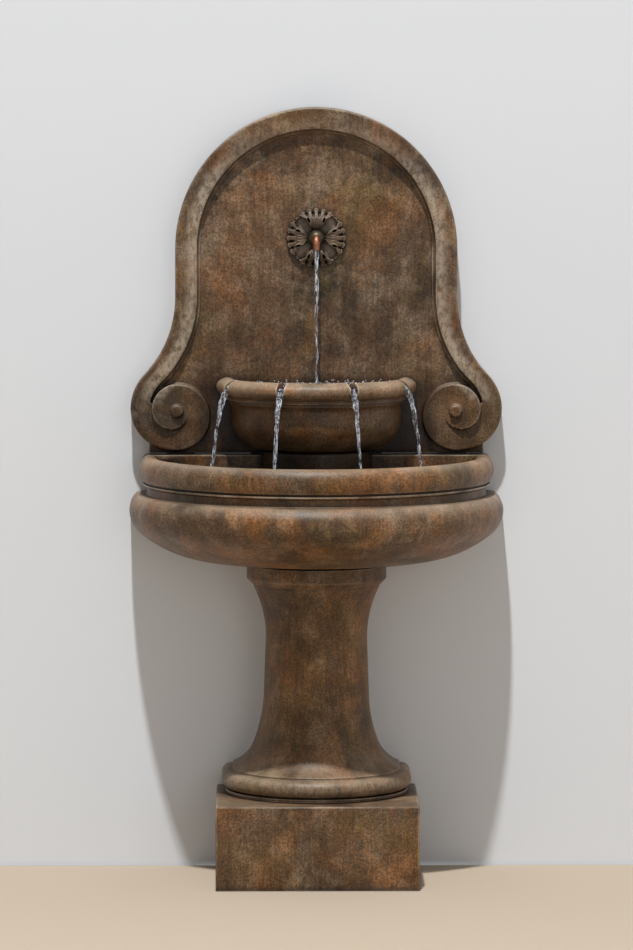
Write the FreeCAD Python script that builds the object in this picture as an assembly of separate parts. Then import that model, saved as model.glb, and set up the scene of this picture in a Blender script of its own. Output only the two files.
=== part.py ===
import FreeCAD
import Part
import math
import os

# Garden wall fountain in cast stone, in millimetres.
# X runs to the right, Y towards the wall, Z up. Depths are counted from the wall plane.

# Plinth block
plinthWidth = 427.0
plinthDepth = 346.0
plinthHeight = 177.0
plinthEdge = 2.5
cordNotchWidth = 46.0
cordNotchHeight = 34.0

# Pedestal, a half-round column with straight sides running back to the wall
pedestalCentreDepth = 109.0
pedestalHeight = 487.0
coreRadius = 78.0
footDiscRadius = 194.0
footDiscHeight = 9.0
footRingRadius = 202.0
footRingHeight = 38.0
flareFootRadius = 178.0
flareFillet = 5.0
waistRadius = 108.0
neckRadius = 134.0
collarRadius = 148.5
collarHeight = 42.0
collarEdge = 12.0
# Joints between the arcs of the shaft: how much wider than the waist, and how high above the foot
shaftJoints = ((25.0, 96.0), (4.0, 203.0), (0.0, 323.0))
shaftFlare = 19.0

# Lower basin, on the same half-round plan
basinCentreDepth = 72.0
basinRadius = 398.0
basinHeight = 227.0
basinSeatRadius = 152.0
basinBellyRise = 112.0
# Joints between the arcs under the widest line: how far in, and how far down
basinBellyJoints = ((22.0, 47.0), (156.0, 104.0))
basinShoulderInset = 17.0
basinShoulderRise = 33.0
# Groove under the rim, with a flat strip and a narrow quirk over it
grooveInset = 37.0
grooveSlope = 3.0
grooveHeight = 30.0
stripInset = 29.0
stripHeight = 8.0
quirkInset = 34.0
quirkHeight = 4.0
rimInset = 21.0
rimWall = 45.0
rimFootInset = 6.0
rimBulgeDrop = 33.0
rimShoulderInset = 6.0
rimShoulderDrop = 9.0
rimLipDrop = 19.0
basinWallFoot = 91.0
basinWallBend = (32.0, 60.0)
basinFloorThickness = 54.0
basinFloorRadius = 250.0
basinBackWall = 58.0

# Headboard, with its heights counted from its own foot
padThickness = 3.0
panelThickness = 42.0
frameRelief = 18.0
frameBand = 47.0
frameEdge = 5.0
discEdge = 2.5
beadWidth = 7.0
beadRelief = 5.0
archRadius = 300.0
archRise = 435.5
shoulderRise = 334.0
footInset = 39.6
voluteInset = 2.4
outerTurnRadius = 100.8
outerTurnRise = 95.4
lowerTurnRise = 6.8
innerHollowRadius = 76.0
frameReach = 42.1

# Volute disc, inner scroll and button
discInset = 99.6
discTopRise = 148.0
discSideReach = 70.0
discFootBend = (20.0, 49.0)
wedgeGap = 3.5
scrollRadii = (43.7, 33.0, 20.0)
scrollEndAngle = 120.0
scrollRelief = 12.0
scrollTilt = 30.0
buttonRise = 90.5
buttonRadius = 13.5
buttonRelief = 9.0

# Channel for the supply tube behind the headboard
channelWidth = 28.0
channelDepth = 24.0
slotRise = 140.0
spoutRise = 458.0
pocketRadius = 34.0
panelWeb = 10.0

# Upper bowl
bowlCentreDepth = 50.0
bowlRadius = 213.0
bowlRise = 12.0
bowlHeight = 150.0
bowlFootRadius = 124.0
bowlBodyRadius = 172.0
bowlBodyRise = 54.0
bowlBodyJoint = (15.0, 30.0)
bowlBodyLip = 8.0
bowlNeckInset = 8.0
bowlNeckCurve = 19.0
bowlNeckRise = 98.0
bowlFillet = 6.0
bowlFilletStep = 9.0
bowlRimHeight = 38.0
bowlRimShoulder = (4.0, 11.0)
bowlRimBulge = 19.0
bowlWall = 44.0
bowlLipInset = 4.0
bowlLipDrop = 7.0
bowlLipFoot = 16.0
bowlWallFoot = 24.0
bowlWallBend = (29.0, 47.0)
bowlFloorRise = 52.0
bowlFloorRadius = 96.0
bowlBackWall = 26.0
bowlBackDrop = 12.0
notchCount = 4
notchPitch = 43.0
notchWidth = 15.0
notchDepth = 27.0
notchFlare = 2.5

# Bowl support, the half-round pump house that stands in the basin
supportRadius = 118.0
supportCentreDepth = 60.0
supportWall = 24.0
supportEdge = 5.0
inletWidth = 44.0
inletHeight = 34.0
inletAngles = (-52.0, 52.0)

# Rosette, escutcheon and spout
rosetteRadius = 64.0
rosetteValley = 58.0
rosetteRoot = 17.0
rosetteHeight = 21.0
rosetteEdgeHeight = 6.0
rosetteHeart = 13.0
heartRadius = 19.0
dishRidge = 0.55
leafCount = 4
leafHalfSpan = 37.0
lobeCount = 5
tipRadius = 61.0
tipValley = 57.0
tipHalfSpan = 15.0
tipHeight = 8.0
tipEdgeHeight = 4.0
tipLobeCount = 3
eyeRadius = 2.6
eyeFloor = 4.0
eyeRing = 33.0
eyeSpread = 17.0
escutcheonRadius = 17.0
spoutTubeRadius = 7.5
spoutBore = 6.2
spoutReach = 47.0
spoutDrop = 23.0
spoutBend = 11.0
spoutBarbWall = 1.5
spoutBarbDrop = 34.0
spoutCollar = 3.0
washerThickness = 1.5
washerRadius = 14.0
locknutThickness = 6.0
locknutRadius = 13.0

# Supply tube and its clamps
tubeDepth = 13.0
tubeOuterRadius = 9.0
tubeInnerRadius = 7.0
tubeFit = 0.1
tubeBend = 120.0
tubeLowRise = 72.0
tubeTurnRise = 91.0
clampHeight = 9.0
clampBand = 1.2
clampFit = 0.1
clampEarWidth = 3.6
clampEar = 7.0
clampInset = 6.0

# Pump
pumpDepth = 90.0
pumpWidth = 52.0
pumpHeight = 64.0
pumpCorner = 7.0
motorEnd = 62.0
motorStart = 10.0
chamberStart = -16.0
coverStart = -44.0
coverWall = 2.6
rotorRise = 28.0
rotorRadius = 15.0
rotorLength = 32.0
rotorGap = 1.5
rotorEndGap = 3.0
chamberRadius = 22.0
chamberWall = 4.0
impellerRadius = 19.0
impellerHub = 6.0
impellerPlateRadius = 13.3
bladeRoot = 1.0
bladeCount = 6
bladeThickness = 2.2
bladeLength = 14.0
shaftRadius = 2.0
shaftFit = 0.06
bushRadius = 4.5
bushLength = 4.0
inletBore = 11.0
bushWall = 1.5
spokeCount = 3
spokeWidth = 2.0
spokeRoot = 1.0
nozzleLength = 28.0
nozzleWall = 2.0
slotCount = 6
slotWidth = 3.0
slotPitch = 7.0
dialRadius = 10.0
dialThickness = 5.0
dialPinRadius = 3.0
dialGrip = 3.0
dialGripReach = 8.0
shutterRadius = 13.0
shutterThickness = 2.0
dialFit = 0.3
feetRadius = 9.0
feetHeight = 8.0
feetInset = 12.0
glandRadius = 6.0
glandLength = 10.0
glandRise = 16.0

# Rubber stopper in the basin floor
stopperDepth = 136.0
stopperHole = 13.0
stopperFlange = 16.5
stopperFlangeHeight = 7.0
stopperLength = 40.0
stopperTaper = 1.2
stopperCord = 3.6

# Setting pads under the headboard
padLength = 60.0
padWidth = 30.0
padInset = 66.0
padInnerX = 110.0

# Clearance between separate castings that can be lifted apart
seatGap = 0.3

# Edges and planes nearer than this are the same, and a smaller lean, in radians, is straight
sameDistance = 0.1
straightLean = 0.000001

# Levels and planes that follow from the sizes above
wallY = (basinRadius + basinCentreDepth) / 2
pedestalTop = plinthHeight + pedestalHeight
basinTop = pedestalTop + basinHeight
voluteReach = basinRadius - voluteInset
footHalfWidth = voluteReach - footInset
innerHollowReach = voluteReach - frameReach
scrollReach = innerHollowReach - wedgeGap
discCentreX = voluteReach - discInset
basinFloor = pedestalTop + basinFloorThickness
headFoot = basinTop + padThickness
spoutZ = headFoot + spoutRise
bowlFoot = headFoot + bowlRise
bowlTop = bowlFoot + bowlHeight
frameDepth = panelThickness + frameRelief
pumpFoot = basinFloor + feetHeight
rotorZ = pumpFoot + rotorRise
pumpTop = pumpFoot + pumpHeight
tubeStart = pumpTop + nozzleLength / 3
tubeEnd = spoutZ - spoutBend - spoutCollar
spoutFrontDepth = panelThickness + spoutReach
pocketDepth = panelThickness - panelWeb
spoutHoleRadius = spoutTubeRadius + seatGap
ringBore = spoutTubeRadius + clampFit
rotorStart = motorStart + rotorEndGap * 2
rotorEnd = rotorStart + rotorLength
cavityEnd = rotorEnd + rotorEndGap
shaftStart = chamberStart + chamberWall / 4
shaftEnd = cavityEnd + bushLength


def place(x, depth, z):
    return FreeCAD.Vector(x, wallY - depth, z)


def line(start, end):
    return Part.LineSegment(start, end).toShape()


def arc(start, middle, end):
    return Part.Arc(start, middle, end).toShape()


# Run of arcs through the given points, each tangent to the one before it
def tangentArcs(start, heading, ends):
    edges = []
    here = start
    forward = FreeCAD.Vector(heading).normalize()
    for there in ends:
        chord = there - here
        along = FreeCAD.Vector(chord).normalize()
        lean = forward.getAngle(along)
        side = forward - along * forward.dot(along)
        if lean < straightLean:
            edges.append(line(here, there))
        else:
            bulge = chord.Length / 2 * math.tan(lean / 2)
            edges.append(arc(here, (here + there) / 2 + side.normalize() * bulge, there))
        forward = along * (2 * forward.dot(along)) - forward
        here = there
    return edges


# Arc about a centre in the front plane, between two angles in degrees, counted from +X towards +Z
def turn(centreX, centreZ, radius, startAngle, endAngle, depth=0.0):
    angles = [startAngle, (startAngle + endAngle) / 2, endAngle]
    points = []
    for angle in angles:
        a = math.radians(angle)
        points.append(place(centreX + radius * math.cos(a), depth, centreZ + radius * math.sin(a)))
    return Part.Arc(*points).toShape()


def mirrored(shape):
    return shape.mirror(FreeCAD.Vector(0, 0, 0), FreeCAD.Vector(1, 0, 0))


def faceOf(edges):
    wire = Part.Wire(Part.__sortEdges__(edges))
    return Part.Face(wire)


def fused(shapes):
    return shapes[0].multiFuse(shapes[1:]).removeSplitter()


# Half-round plan: the profile turns about a vertical axis in front, and runs straight back to a plane
def halfRound(profile, centreDepth, backDepth):
    axis = place(0, centreDepth, 0)
    front = profile.revolve(axis, FreeCAD.Vector(0, 0, -1), 180)
    right = profile.extrude(FreeCAD.Vector(0, centreDepth - backDepth, 0))
    return fused([front, right, mirrored(right)])


def cylinder(radius, length, base, direction=FreeCAD.Vector(0, 0, 1)):
    return Part.makeCylinder(radius, length, base, direction)


def block(xLow, xHigh, depthLow, depthHigh, zLow, zHigh):
    corner = place(xLow, depthHigh, zLow)
    return Part.makeBox(xHigh - xLow, depthHigh - depthLow, zHigh - zLow, corner)


def plinth():
    stone = block(-plinthWidth / 2, plinthWidth / 2, 0, plinthDepth, 0, plinthHeight)
    raisedEdges = [e for e in stone.Edges if e.CenterOfMass.z > sameDistance]
    front = [e for e in raisedEdges if e.BoundBox.YMin < wallY - sameDistance]
    stone = stone.makeChamfer(plinthEdge, front)
    core = cylinder(coreRadius, plinthHeight, place(0, pedestalCentreDepth, 0))
    half = cordNotchWidth / 2
    straight = cordNotchHeight - half
    notch = block(-half, half, 0, pedestalCentreDepth, 0, straight)
    top = cylinder(half, pedestalCentreDepth, place(0, 0, straight), FreeCAD.Vector(0, -1, 0))
    return stone.cut(core).cut(notch).cut(top)


def pedestal():
    c = pedestalCentreDepth
    z0 = plinthHeight
    ringFoot = z0 + footDiscHeight
    ringTop = ringFoot + footRingHeight
    collarFoot = pedestalTop - collarHeight
    ringFlat = footRingRadius - footRingHeight / 2
    shaftFoot = place(flareFootRadius, c, ringTop + flareFillet)
    shaftTop = place(neckRadius, c, collarFoot - flareFillet)
    joints = [place(waistRadius + wider, c, z0 + rise) for wider, rise in shaftJoints]
    slope = math.radians(shaftFlare)
    edges = [
        line(place(0, c, z0), place(footDiscRadius, c, z0)),
        line(place(footDiscRadius, c, z0), place(footDiscRadius, c, ringFoot)),
        line(place(footDiscRadius, c, ringFoot), place(ringFlat, c, ringFoot)),
        arc(place(ringFlat, c, ringFoot), place(footRingRadius, c, (ringFoot + ringTop) / 2),
            place(ringFlat, c, ringTop)),
        line(place(ringFlat, c, ringTop), place(flareFootRadius, c, ringTop)),
        line(place(flareFootRadius, c, ringTop), shaftFoot),
        line(shaftTop, place(neckRadius, c, collarFoot)),
        line(place(neckRadius, c, collarFoot), place(collarRadius - collarEdge, c, collarFoot)),
        line(place(collarRadius - collarEdge, c, collarFoot),
             place(collarRadius, c, collarFoot + collarEdge)),
        line(place(collarRadius, c, collarFoot + collarEdge), place(collarRadius, c, pedestalTop)),
        line(place(collarRadius, c, pedestalTop), place(0, c, pedestalTop)),
        line(place(0, c, pedestalTop), place(0, c, z0)),
    ]
    inward = FreeCAD.Vector(-math.cos(slope), 0, math.sin(slope))
    edges += tangentArcs(shaftFoot, inward, joints + [shaftTop])
    stone = halfRound(faceOf(edges), c, 0)
    return stone.cut(cylinder(coreRadius, pedestalHeight, place(0, c, z0)))


def basinOuter():
    c = basinCentreDepth
    z0 = pedestalTop
    belly = z0 + basinBellyRise
    shoulder = belly + basinShoulderRise
    shoulderRadius = basinRadius - basinShoulderInset
    grooveRadius = basinRadius - grooveInset
    stripRadius = basinRadius - stripInset
    quirkRadius = basinRadius - quirkInset
    rimFoot = shoulder + grooveHeight
    stripTop = rimFoot - quirkHeight
    stripFoot = stripTop - stripHeight
    rimRadius = basinRadius - rimInset
    crown = place(rimRadius - rimWall / 2, c, basinTop)
    rimEnds = [
        place(rimRadius - rimShoulderInset, c, basinTop - rimShoulderDrop),
        place(rimRadius, c, basinTop - rimBulgeDrop),
        place(rimRadius - rimFootInset, c, rimFoot),
    ]
    widest = place(basinRadius, c, belly)
    under = [place(basinRadius - inset, c, belly - drop) for inset, drop in basinBellyJoints]
    seatEdge = place(basinSeatRadius, c, z0)
    groove = [
        place(shoulderRadius, c, shoulder),
        place(grooveRadius, c, shoulder + grooveSlope),
        place(grooveRadius, c, stripFoot),
        place(stripRadius, c, stripFoot + grooveSlope),
        place(stripRadius, c, stripTop),
        place(quirkRadius, c, stripTop),
        place(quirkRadius, c, rimFoot),
        rimEnds[-1],
    ]
    edges = [
        line(place(0, c, z0), seatEdge),
        line(crown, place(0, c, basinTop)),
        line(place(0, c, basinTop), place(0, c, z0)),
    ]
    edges += [line(start, end) for start, end in zip(groove, groove[1:])]
    edges += tangentArcs(widest, FreeCAD.Vector(0, 0, -1), under + [seatEdge])
    edges += tangentArcs(widest, FreeCAD.Vector(0, 0, 1), [groove[0]])
    edges += tangentArcs(crown, FreeCAD.Vector(1, 0, 0), rimEnds)
    return halfRound(faceOf(edges), c, 0)


def basinHollow():
    c = basinCentreDepth
    mouth = basinRadius - rimInset - rimWall
    crown = place(mouth + rimWall / 2, c, basinTop)
    lip = place(mouth, c, basinTop - rimLipDrop)
    wallFoot = place(mouth, c, basinTop - basinWallFoot)
    bend = place(mouth - basinWallBend[0], c, basinTop - basinWallFoot - basinWallBend[1])
    floorEdge = place(basinFloorRadius, c, basinFloor)
    above = basinTop + rimWall
    edges = [
        line(place(0, c, basinFloor), floorEdge),
        line(lip, wallFoot),
        line(crown, place(crown.x, c, above)),
        line(place(crown.x, c, above), place(0, c, above)),
        line(place(0, c, above), place(0, c, basinFloor)),
    ]
    edges += tangentArcs(wallFoot, FreeCAD.Vector(0, 0, -1), [bend, floorEdge])
    lipShoulder = place(mouth + rimShoulderInset, c, basinTop - rimShoulderDrop)
    edges += tangentArcs(crown, FreeCAD.Vector(-1, 0, 0), [lipShoulder, lip])
    return halfRound(faceOf(edges), c, basinBackWall)


def lowerBasin():
    stone = basinOuter().cut(basinHollow())
    hole = cylinder(stopperHole, basinFloorThickness, place(0, stopperDepth, pedestalTop))
    return stone.cut(hole)


# Centre and radius of the hollow arc that runs from a vertical side at sideX down onto a volute arc
def hollowArc(sideX, sideZ, voluteX, voluteZ, voluteRadius):
    rise = sideZ - voluteZ
    lean = sideX - voluteX
    radius = (rise ** 2 + lean ** 2 - voluteRadius ** 2) / (2 * (voluteRadius - lean))
    angle = math.degrees(math.atan2(rise, sideX + radius - voluteX))
    return sideX + radius, radius, angle


# Right half of the headboard's outline, from the foot of the volute up to the arch's crown
def outerOutline(depth):
    voluteX = voluteReach - outerTurnRadius
    voluteZ = headFoot + outerTurnRise
    sideZ = headFoot + shoulderRise
    archZ = headFoot + archRise
    hollowX, hollowRadius, angle = hollowArc(archRadius, sideZ, voluteX, voluteZ, outerTurnRadius)
    return [
        turn(voluteX, voluteZ, outerTurnRadius, 0, angle, depth),
        turn(hollowX, sideZ, hollowRadius, 180 + angle, 180, depth),
        line(place(archRadius, depth, sideZ), place(archRadius, depth, archZ)),
        turn(0, archZ, archRadius, 0, 90, depth),
    ]


# Lower turn of the volute, from its lowest point round to the widest point
def lowerTurn(depth, startAngle):
    voluteZ = headFoot + outerTurnRise
    radius = outerTurnRise - lowerTurnRise
    return turn(voluteReach - radius, voluteZ, radius, startAngle, 0, depth)


def innerOutline(depth, inset):
    voluteX = innerHollowReach - innerHollowRadius
    voluteZ = headFoot + outerTurnRise
    sideX = archRadius - frameBand
    sideZ = headFoot + shoulderRise
    archZ = headFoot + archRise
    hollowX, hollowRadius, angle = hollowArc(sideX, sideZ, voluteX, voluteZ, innerHollowRadius)
    return [
        turn(voluteX, voluteZ, innerHollowRadius - inset, 0, angle, depth),
        turn(hollowX, sideZ, hollowRadius + inset, 180 + angle, 180, depth),
        line(place(sideX - inset, depth, sideZ), place(sideX - inset, depth, archZ)),
        turn(0, archZ, sideX - inset, 0, 90, depth),
    ]


def bothSides(edges):
    return edges + [mirrored(e) for e in edges]


def raised(edges, depthLow, depthHigh):
    return faceOf(edges).extrude(FreeCAD.Vector(0, depthLow - depthHigh, 0))


def slab():
    radius = outerTurnRise - lowerTurnRise
    lowerX = voluteReach - radius
    startAngle = -math.degrees(math.acos((footHalfWidth - lowerX) / radius))
    footTop = headFoot + outerTurnRise + radius * math.sin(math.radians(startAngle))
    edges = bothSides(outerOutline(0) + [
        lowerTurn(0, startAngle),
        line(place(footHalfWidth, 0, headFoot), place(footHalfWidth, 0, footTop)),
    ])
    edges.append(line(place(-footHalfWidth, 0, headFoot), place(footHalfWidth, 0, headFoot)))
    return raised(edges, 0, panelThickness)


# Closing lines of the moulded band, hidden under the volute disc
def bandEnd(depth, inset):
    radius = outerTurnRise - lowerTurnRise
    lowerX = voluteReach - radius
    voluteZ = headFoot + outerTurnRise
    return [
        line(place(innerHollowReach - inset, depth, voluteZ), place(lowerX, depth, voluteZ)),
        line(place(lowerX, depth, voluteZ), place(lowerX, depth, headFoot + lowerTurnRise)),
    ]


def frameBandSolid():
    edges = outerOutline(0) + [lowerTurn(0, -90)] + innerOutline(0, 0) + bandEnd(0, 0)
    band = raised(bothSides(edges), 0, frameDepth)
    rounded = outerOutline(0) + [lowerTurn(0, -90)]
    faceY = wallY - frameDepth + sameDistance
    outer = [e for e in band.Edges if e.BoundBox.YMax < faceY and liesOn(e, rounded)]
    return band.makeFillet(frameEdge, outer)


# True for an edge that lies over one of the outlines drawn in the wall plane, on either side
def liesOn(edge, outlines):
    middle = edge.valueAt((edge.FirstParameter + edge.LastParameter) / 2)
    probe = Part.Vertex(place(abs(middle.x), 0, middle.z))
    return min(probe.distToShape(o)[0] for o in outlines) < sameDistance


def beadSolid():
    left = innerOutline(0, beadWidth)
    voluteZ = headFoot + outerTurnRise
    closing = line(place(innerHollowReach, 0, voluteZ), place(innerHollowReach - beadWidth, 0, voluteZ))
    edges = innerOutline(0, 0) + left + [closing]
    return raised(bothSides(edges), 0, panelThickness + beadRelief)


# Outer turn of the volute, the disc that the band curls into
def discEdges():
    discZ = headFoot + discTopRise - discSideReach
    leftZ = headFoot + outerTurnRise
    lowerX = voluteReach - (outerTurnRise - lowerTurnRise)
    innerX = discCentreX - discSideReach
    topZ = headFoot + discTopRise
    diagonal = math.cos(math.radians(45))
    riseLeft = topZ - leftZ
    reachLeft = scrollReach - discCentreX
    bend = place(innerX + discFootBend[0], 0, discZ - discFootBend[1])
    lowest = place(lowerX, 0, headFoot + lowerTurnRise)
    foot = tangentArcs(place(innerX, 0, discZ), FreeCAD.Vector(0, 0, -1), [bend, lowest])
    return {
        "outerTop": arc(place(scrollReach, 0, leftZ),
                        place(discCentreX + reachLeft * diagonal, 0, leftZ + riseLeft * diagonal),
                        place(discCentreX, 0, topZ)),
        "innerTop": turn(discCentreX, discZ, discSideReach, 90, 180, 0),
        "footSide": foot[0],
        "footEnd": foot[1],
        "closeUp": line(lowest, place(lowerX, 0, leftZ)),
        "closeOut": line(place(lowerX, 0, leftZ), place(scrollReach, 0, leftZ)),
    }


# Inner scroll: three arcs wind in round the button, and the face falls from the outer side to nothing
def scrollSolid():
    outer, middle, inner = scrollRadii
    outerX = scrollReach - outer
    outerZ = headFoot + outerTurnRise
    middleZ = outerZ - outer + middle
    innerX = outerX - middle + inner
    edges = [
        turn(outerX, outerZ, outer, -90, 0),
        turn(outerX, middleZ, middle, -180, -90),
        turn(innerX, middleZ, inner, scrollEndAngle, 180),
    ]
    end = edges[-1].Vertexes[0].Point
    top = place(discCentreX, 0, headFoot + discTopRise)
    edges += [discEdges()["outerTop"], line(top, end)]
    prism = raised(edges, 0, frameDepth + scrollRelief * 2)
    hinge = place(end.x, frameDepth, end.z)
    tilt = math.radians(scrollTilt)
    reach = (scrollReach - end.x) * math.cos(tilt) + (end.z - outerZ) * math.sin(tilt)
    slope = math.degrees(math.atan2(scrollRelief, reach))
    size = scrollReach * 2
    cutter = Part.makeBox(size, size, size, FreeCAD.Vector(-size / 2, -size, -size / 2))
    cutter.rotate(FreeCAD.Vector(0, 0, 0), FreeCAD.Vector(0, 0, 1), -slope)
    cutter.rotate(FreeCAD.Vector(0, 0, 0), FreeCAD.Vector(0, 1, 0), scrollTilt)
    cutter.translate(hinge)
    return prism.cut(cutter)


def voluteSolid():
    outline = discEdges()
    disc = raised(list(outline.values()), 0, frameDepth)
    rounded = [outline["innerTop"], outline["footSide"], outline["footEnd"]]
    faceY = wallY - frameDepth + sameDistance
    front = [e for e in disc.Edges if e.BoundBox.YMax < faceY and liesOn(e, rounded)]
    disc = disc.makeFillet(discEdge, front)
    base = place(discCentreX, 0, headFoot + buttonRise)
    height = frameDepth + scrollRelief / 2 + buttonRelief
    button = cylinder(buttonRadius, height, base, FreeCAD.Vector(0, -1, 0))
    tip = [e for e in button.Edges if e.CenterOfMass.y < wallY - height + sameDistance]
    button = button.makeFillet(buttonRadius / 3, tip)
    return [disc, scrollSolid(), button]


def channelSolid():
    half = channelWidth / 2
    channel = block(-half, half, 0, channelDepth, headFoot, spoutZ)
    slot = block(-half, half, 0, panelThickness, headFoot, headFoot + slotRise)
    pocket = cylinder(pocketRadius, pocketDepth, place(0, 0, spoutZ), FreeCAD.Vector(0, -1, 0))
    shank = cylinder(spoutHoleRadius, panelThickness, place(0, 0, spoutZ), FreeCAD.Vector(0, -1, 0))
    return fused([channel, slot, pocket, shank])


def headboard():
    volute = voluteSolid()
    parts = [slab(), frameBandSolid(), beadSolid()] + volute + [mirrored(v) for v in volute]
    return fused(parts).cut(channelSolid())


# Radial overflow notches in the bowl's rim
def bowlNotches():
    notches = []
    floorZ = bowlTop - notchDepth + notchWidth / 2
    for i in range(notchCount):
        angle = math.radians((i - (notchCount - 1) / 2) * notchPitch)
        outward = FreeCAD.Vector(math.sin(angle), -math.cos(angle), 0)
        across = FreeCAD.Vector(math.cos(angle), math.sin(angle), 0)
        start = place(0, bowlCentreDepth, 0) + outward * (bowlRadius - bowlWall - bowlNeckInset)
        low = start + FreeCAD.Vector(0, 0, floorZ)
        high = start + FreeCAD.Vector(0, 0, bowlTop + notchWidth)
        half = notchWidth / 2
        outline = [
            arc(low - across * half, low - FreeCAD.Vector(0, 0, half), low + across * half),
            line(low + across * half, high + across * (half + notchFlare)),
            line(high + across * (half + notchFlare), high - across * (half + notchFlare)),
            line(high - across * (half + notchFlare), low - across * half),
        ]
        notches.append(faceOf(outline).extrude(outward * (bowlWall + bowlNeckInset * 2)))
    return notches


def bowlOuter():
    c = bowlCentreDepth
    z0 = bowlFoot
    widest = place(bowlBodyRadius, c, z0 + bowlBodyRise)
    bodyJoint = place(bowlBodyRadius - bowlBodyJoint[0], c, z0 + bowlBodyRise - bowlBodyJoint[1])
    footEdge = place(bowlFootRadius, c, z0)
    lipZ = z0 + bowlBodyRise + bowlBodyLip
    neckRadius = bowlBodyRadius - bowlNeckInset
    neckFoot = place(neckRadius, c, z0 + bowlNeckRise - bowlNeckCurve)
    neckTop = place(neckRadius + bowlNeckCurve, c, z0 + bowlNeckRise)
    filletRadius = neckTop.x + bowlFilletStep
    rimFoot = bowlTop - bowlRimHeight
    rimStart = place(filletRadius, c, rimFoot)
    bulge = place(bowlRadius, c, rimFoot + bowlRimBulge)
    shoulder = place(bowlRadius - bowlRimShoulder[0], c, bulge.z - bowlRimShoulder[1])
    crest = place(bowlRadius - bowlWall / 2, c, bowlTop)
    edges = [
        line(place(0, c, z0), footEdge),
        line(widest, place(bowlBodyRadius, c, lipZ)),
        line(place(bowlBodyRadius, c, lipZ), place(neckRadius, c, lipZ + grooveSlope)),
        line(place(neckRadius, c, lipZ + grooveSlope), neckFoot),
        line(neckTop, place(neckTop.x, c, neckTop.z + bowlFillet)),
        line(place(neckTop.x, c, neckTop.z + bowlFillet), place(filletRadius, c, neckTop.z + bowlFillet)),
        line(place(filletRadius, c, neckTop.z + bowlFillet), rimStart),
        line(crest, place(0, c, bowlTop)),
        line(place(0, c, bowlTop), place(0, c, z0)),
    ]
    edges += tangentArcs(widest, FreeCAD.Vector(0, 0, -1), [bodyJoint, footEdge])
    edges += tangentArcs(neckFoot, FreeCAD.Vector(0, 0, 1), [neckTop])
    edges += tangentArcs(rimStart, FreeCAD.Vector(1, 0, 0), [shoulder, bulge])
    edges += tangentArcs(bulge, FreeCAD.Vector(0, 0, 1), [
        place(bowlRadius - rimShoulderInset, c, bowlTop - bowlLipDrop), crest])
    return halfRound(faceOf(edges), c, panelThickness + seatGap)


def bowlHollow():
    c = bowlCentreDepth
    mouth = bowlRadius - bowlWall
    crest = place(bowlRadius - bowlWall / 2, c, bowlTop)
    floor = bowlFoot + bowlFloorRise
    above = bowlTop + bowlWall
    lip = place(mouth, c, bowlTop - bowlLipFoot)
    wallFoot = place(mouth, c, bowlTop - bowlWallFoot)
    bend = place(mouth - bowlWallBend[0], c, bowlTop - bowlWallFoot - bowlWallBend[1])
    floorEdge = place(bowlFloorRadius, c, floor)
    edges = [
        line(place(0, c, floor), floorEdge),
        line(lip, wallFoot),
        line(crest, place(crest.x, c, above)),
        line(place(crest.x, c, above), place(0, c, above)),
        line(place(0, c, above), place(0, c, floor)),
    ]
    edges += tangentArcs(wallFoot, FreeCAD.Vector(0, 0, -1), [bend, floorEdge])
    lipShoulder = place(mouth + bowlLipInset, c, bowlTop - bowlLipDrop)
    edges += tangentArcs(crest, FreeCAD.Vector(-1, 0, 0), [lipShoulder, lip])
    bowl = halfRound(faceOf(edges), c, 0)
    back = block(-bowlRadius, bowlRadius, 0, panelThickness + bowlBackWall, 0, bowlTop - bowlBackDrop)
    return bowl.cut(back)


# Slanting groove in the bowl's back that clears the supply tube
def bowlGroove():
    low = bowlFoot - sameDistance
    lowDepth = tubeDepthAt(low) + tubeClear()
    topZ = tubeHeightAt(panelThickness - tubeClear())
    half = channelWidth / 2
    corners = [
        place(-half, 0, low), place(-half, lowDepth, low),
        place(-half, panelThickness, topZ), place(-half, 0, topZ),
    ]
    edges = [line(corners[i], corners[(i + 1) % 4]) for i in range(4)]
    return faceOf(edges).extrude(FreeCAD.Vector(channelWidth, 0, 0))


def upperBowl():
    bowl = bowlOuter().cut(bowlHollow()).cut(bowlGroove())
    for notch in bowlNotches():
        bowl = bowl.cut(notch)
    return bowl


def bowlSupport():
    c = supportCentreDepth
    top = bowlFoot - seatGap
    inner = supportRadius - supportWall
    edges = [
        line(place(inner, c, basinFloor), place(supportRadius, c, basinFloor)),
        line(place(supportRadius, c, basinFloor), place(supportRadius, c, top - supportEdge)),
        line(place(supportRadius, c, top - supportEdge), place(supportRadius - supportEdge, c, top)),
        line(place(supportRadius - supportEdge, c, top), place(inner, c, top)),
        line(place(inner, c, top), place(inner, c, basinFloor)),
    ]
    shell = halfRound(faceOf(edges), c, basinBackWall)
    for angle in inletAngles:
        a = math.radians(angle)
        outward = FreeCAD.Vector(math.sin(a), -math.cos(a), 0)
        across = FreeCAD.Vector(math.cos(a), math.sin(a), 0)
        half = inletWidth / 2
        low = place(0, c, basinFloor)
        spring = low + FreeCAD.Vector(0, 0, inletHeight - half)
        outline = [
            line(low - across * half, low + across * half),
            line(low + across * half, spring + across * half),
            arc(spring + across * half, spring + FreeCAD.Vector(0, 0, half), spring - across * half),
            line(spring - across * half, low - across * half),
        ]
        shell = shell.cut(faceOf(outline).extrude(outward * supportRadius * 2))
    return shell


# Supply tube's centre line: up from the pump, leaning back to the channel, up to the spout's barb
def tubeTurns():
    low = FreeCAD.Vector(0, wallY - pumpDepth, pumpTop + tubeLowRise)
    high = FreeCAD.Vector(0, wallY - tubeDepth, headFoot + tubeTurnRise)
    return low, high


def tubeDepthAt(z):
    low, high = tubeTurns()
    share = (z - low.z) / (high.z - low.z)
    return pumpDepth + (tubeDepth - pumpDepth) * share


def tubeHeightAt(depth):
    low, high = tubeTurns()
    return low.z + (high.z - low.z) * (pumpDepth - depth) / (pumpDepth - tubeDepth)


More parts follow.
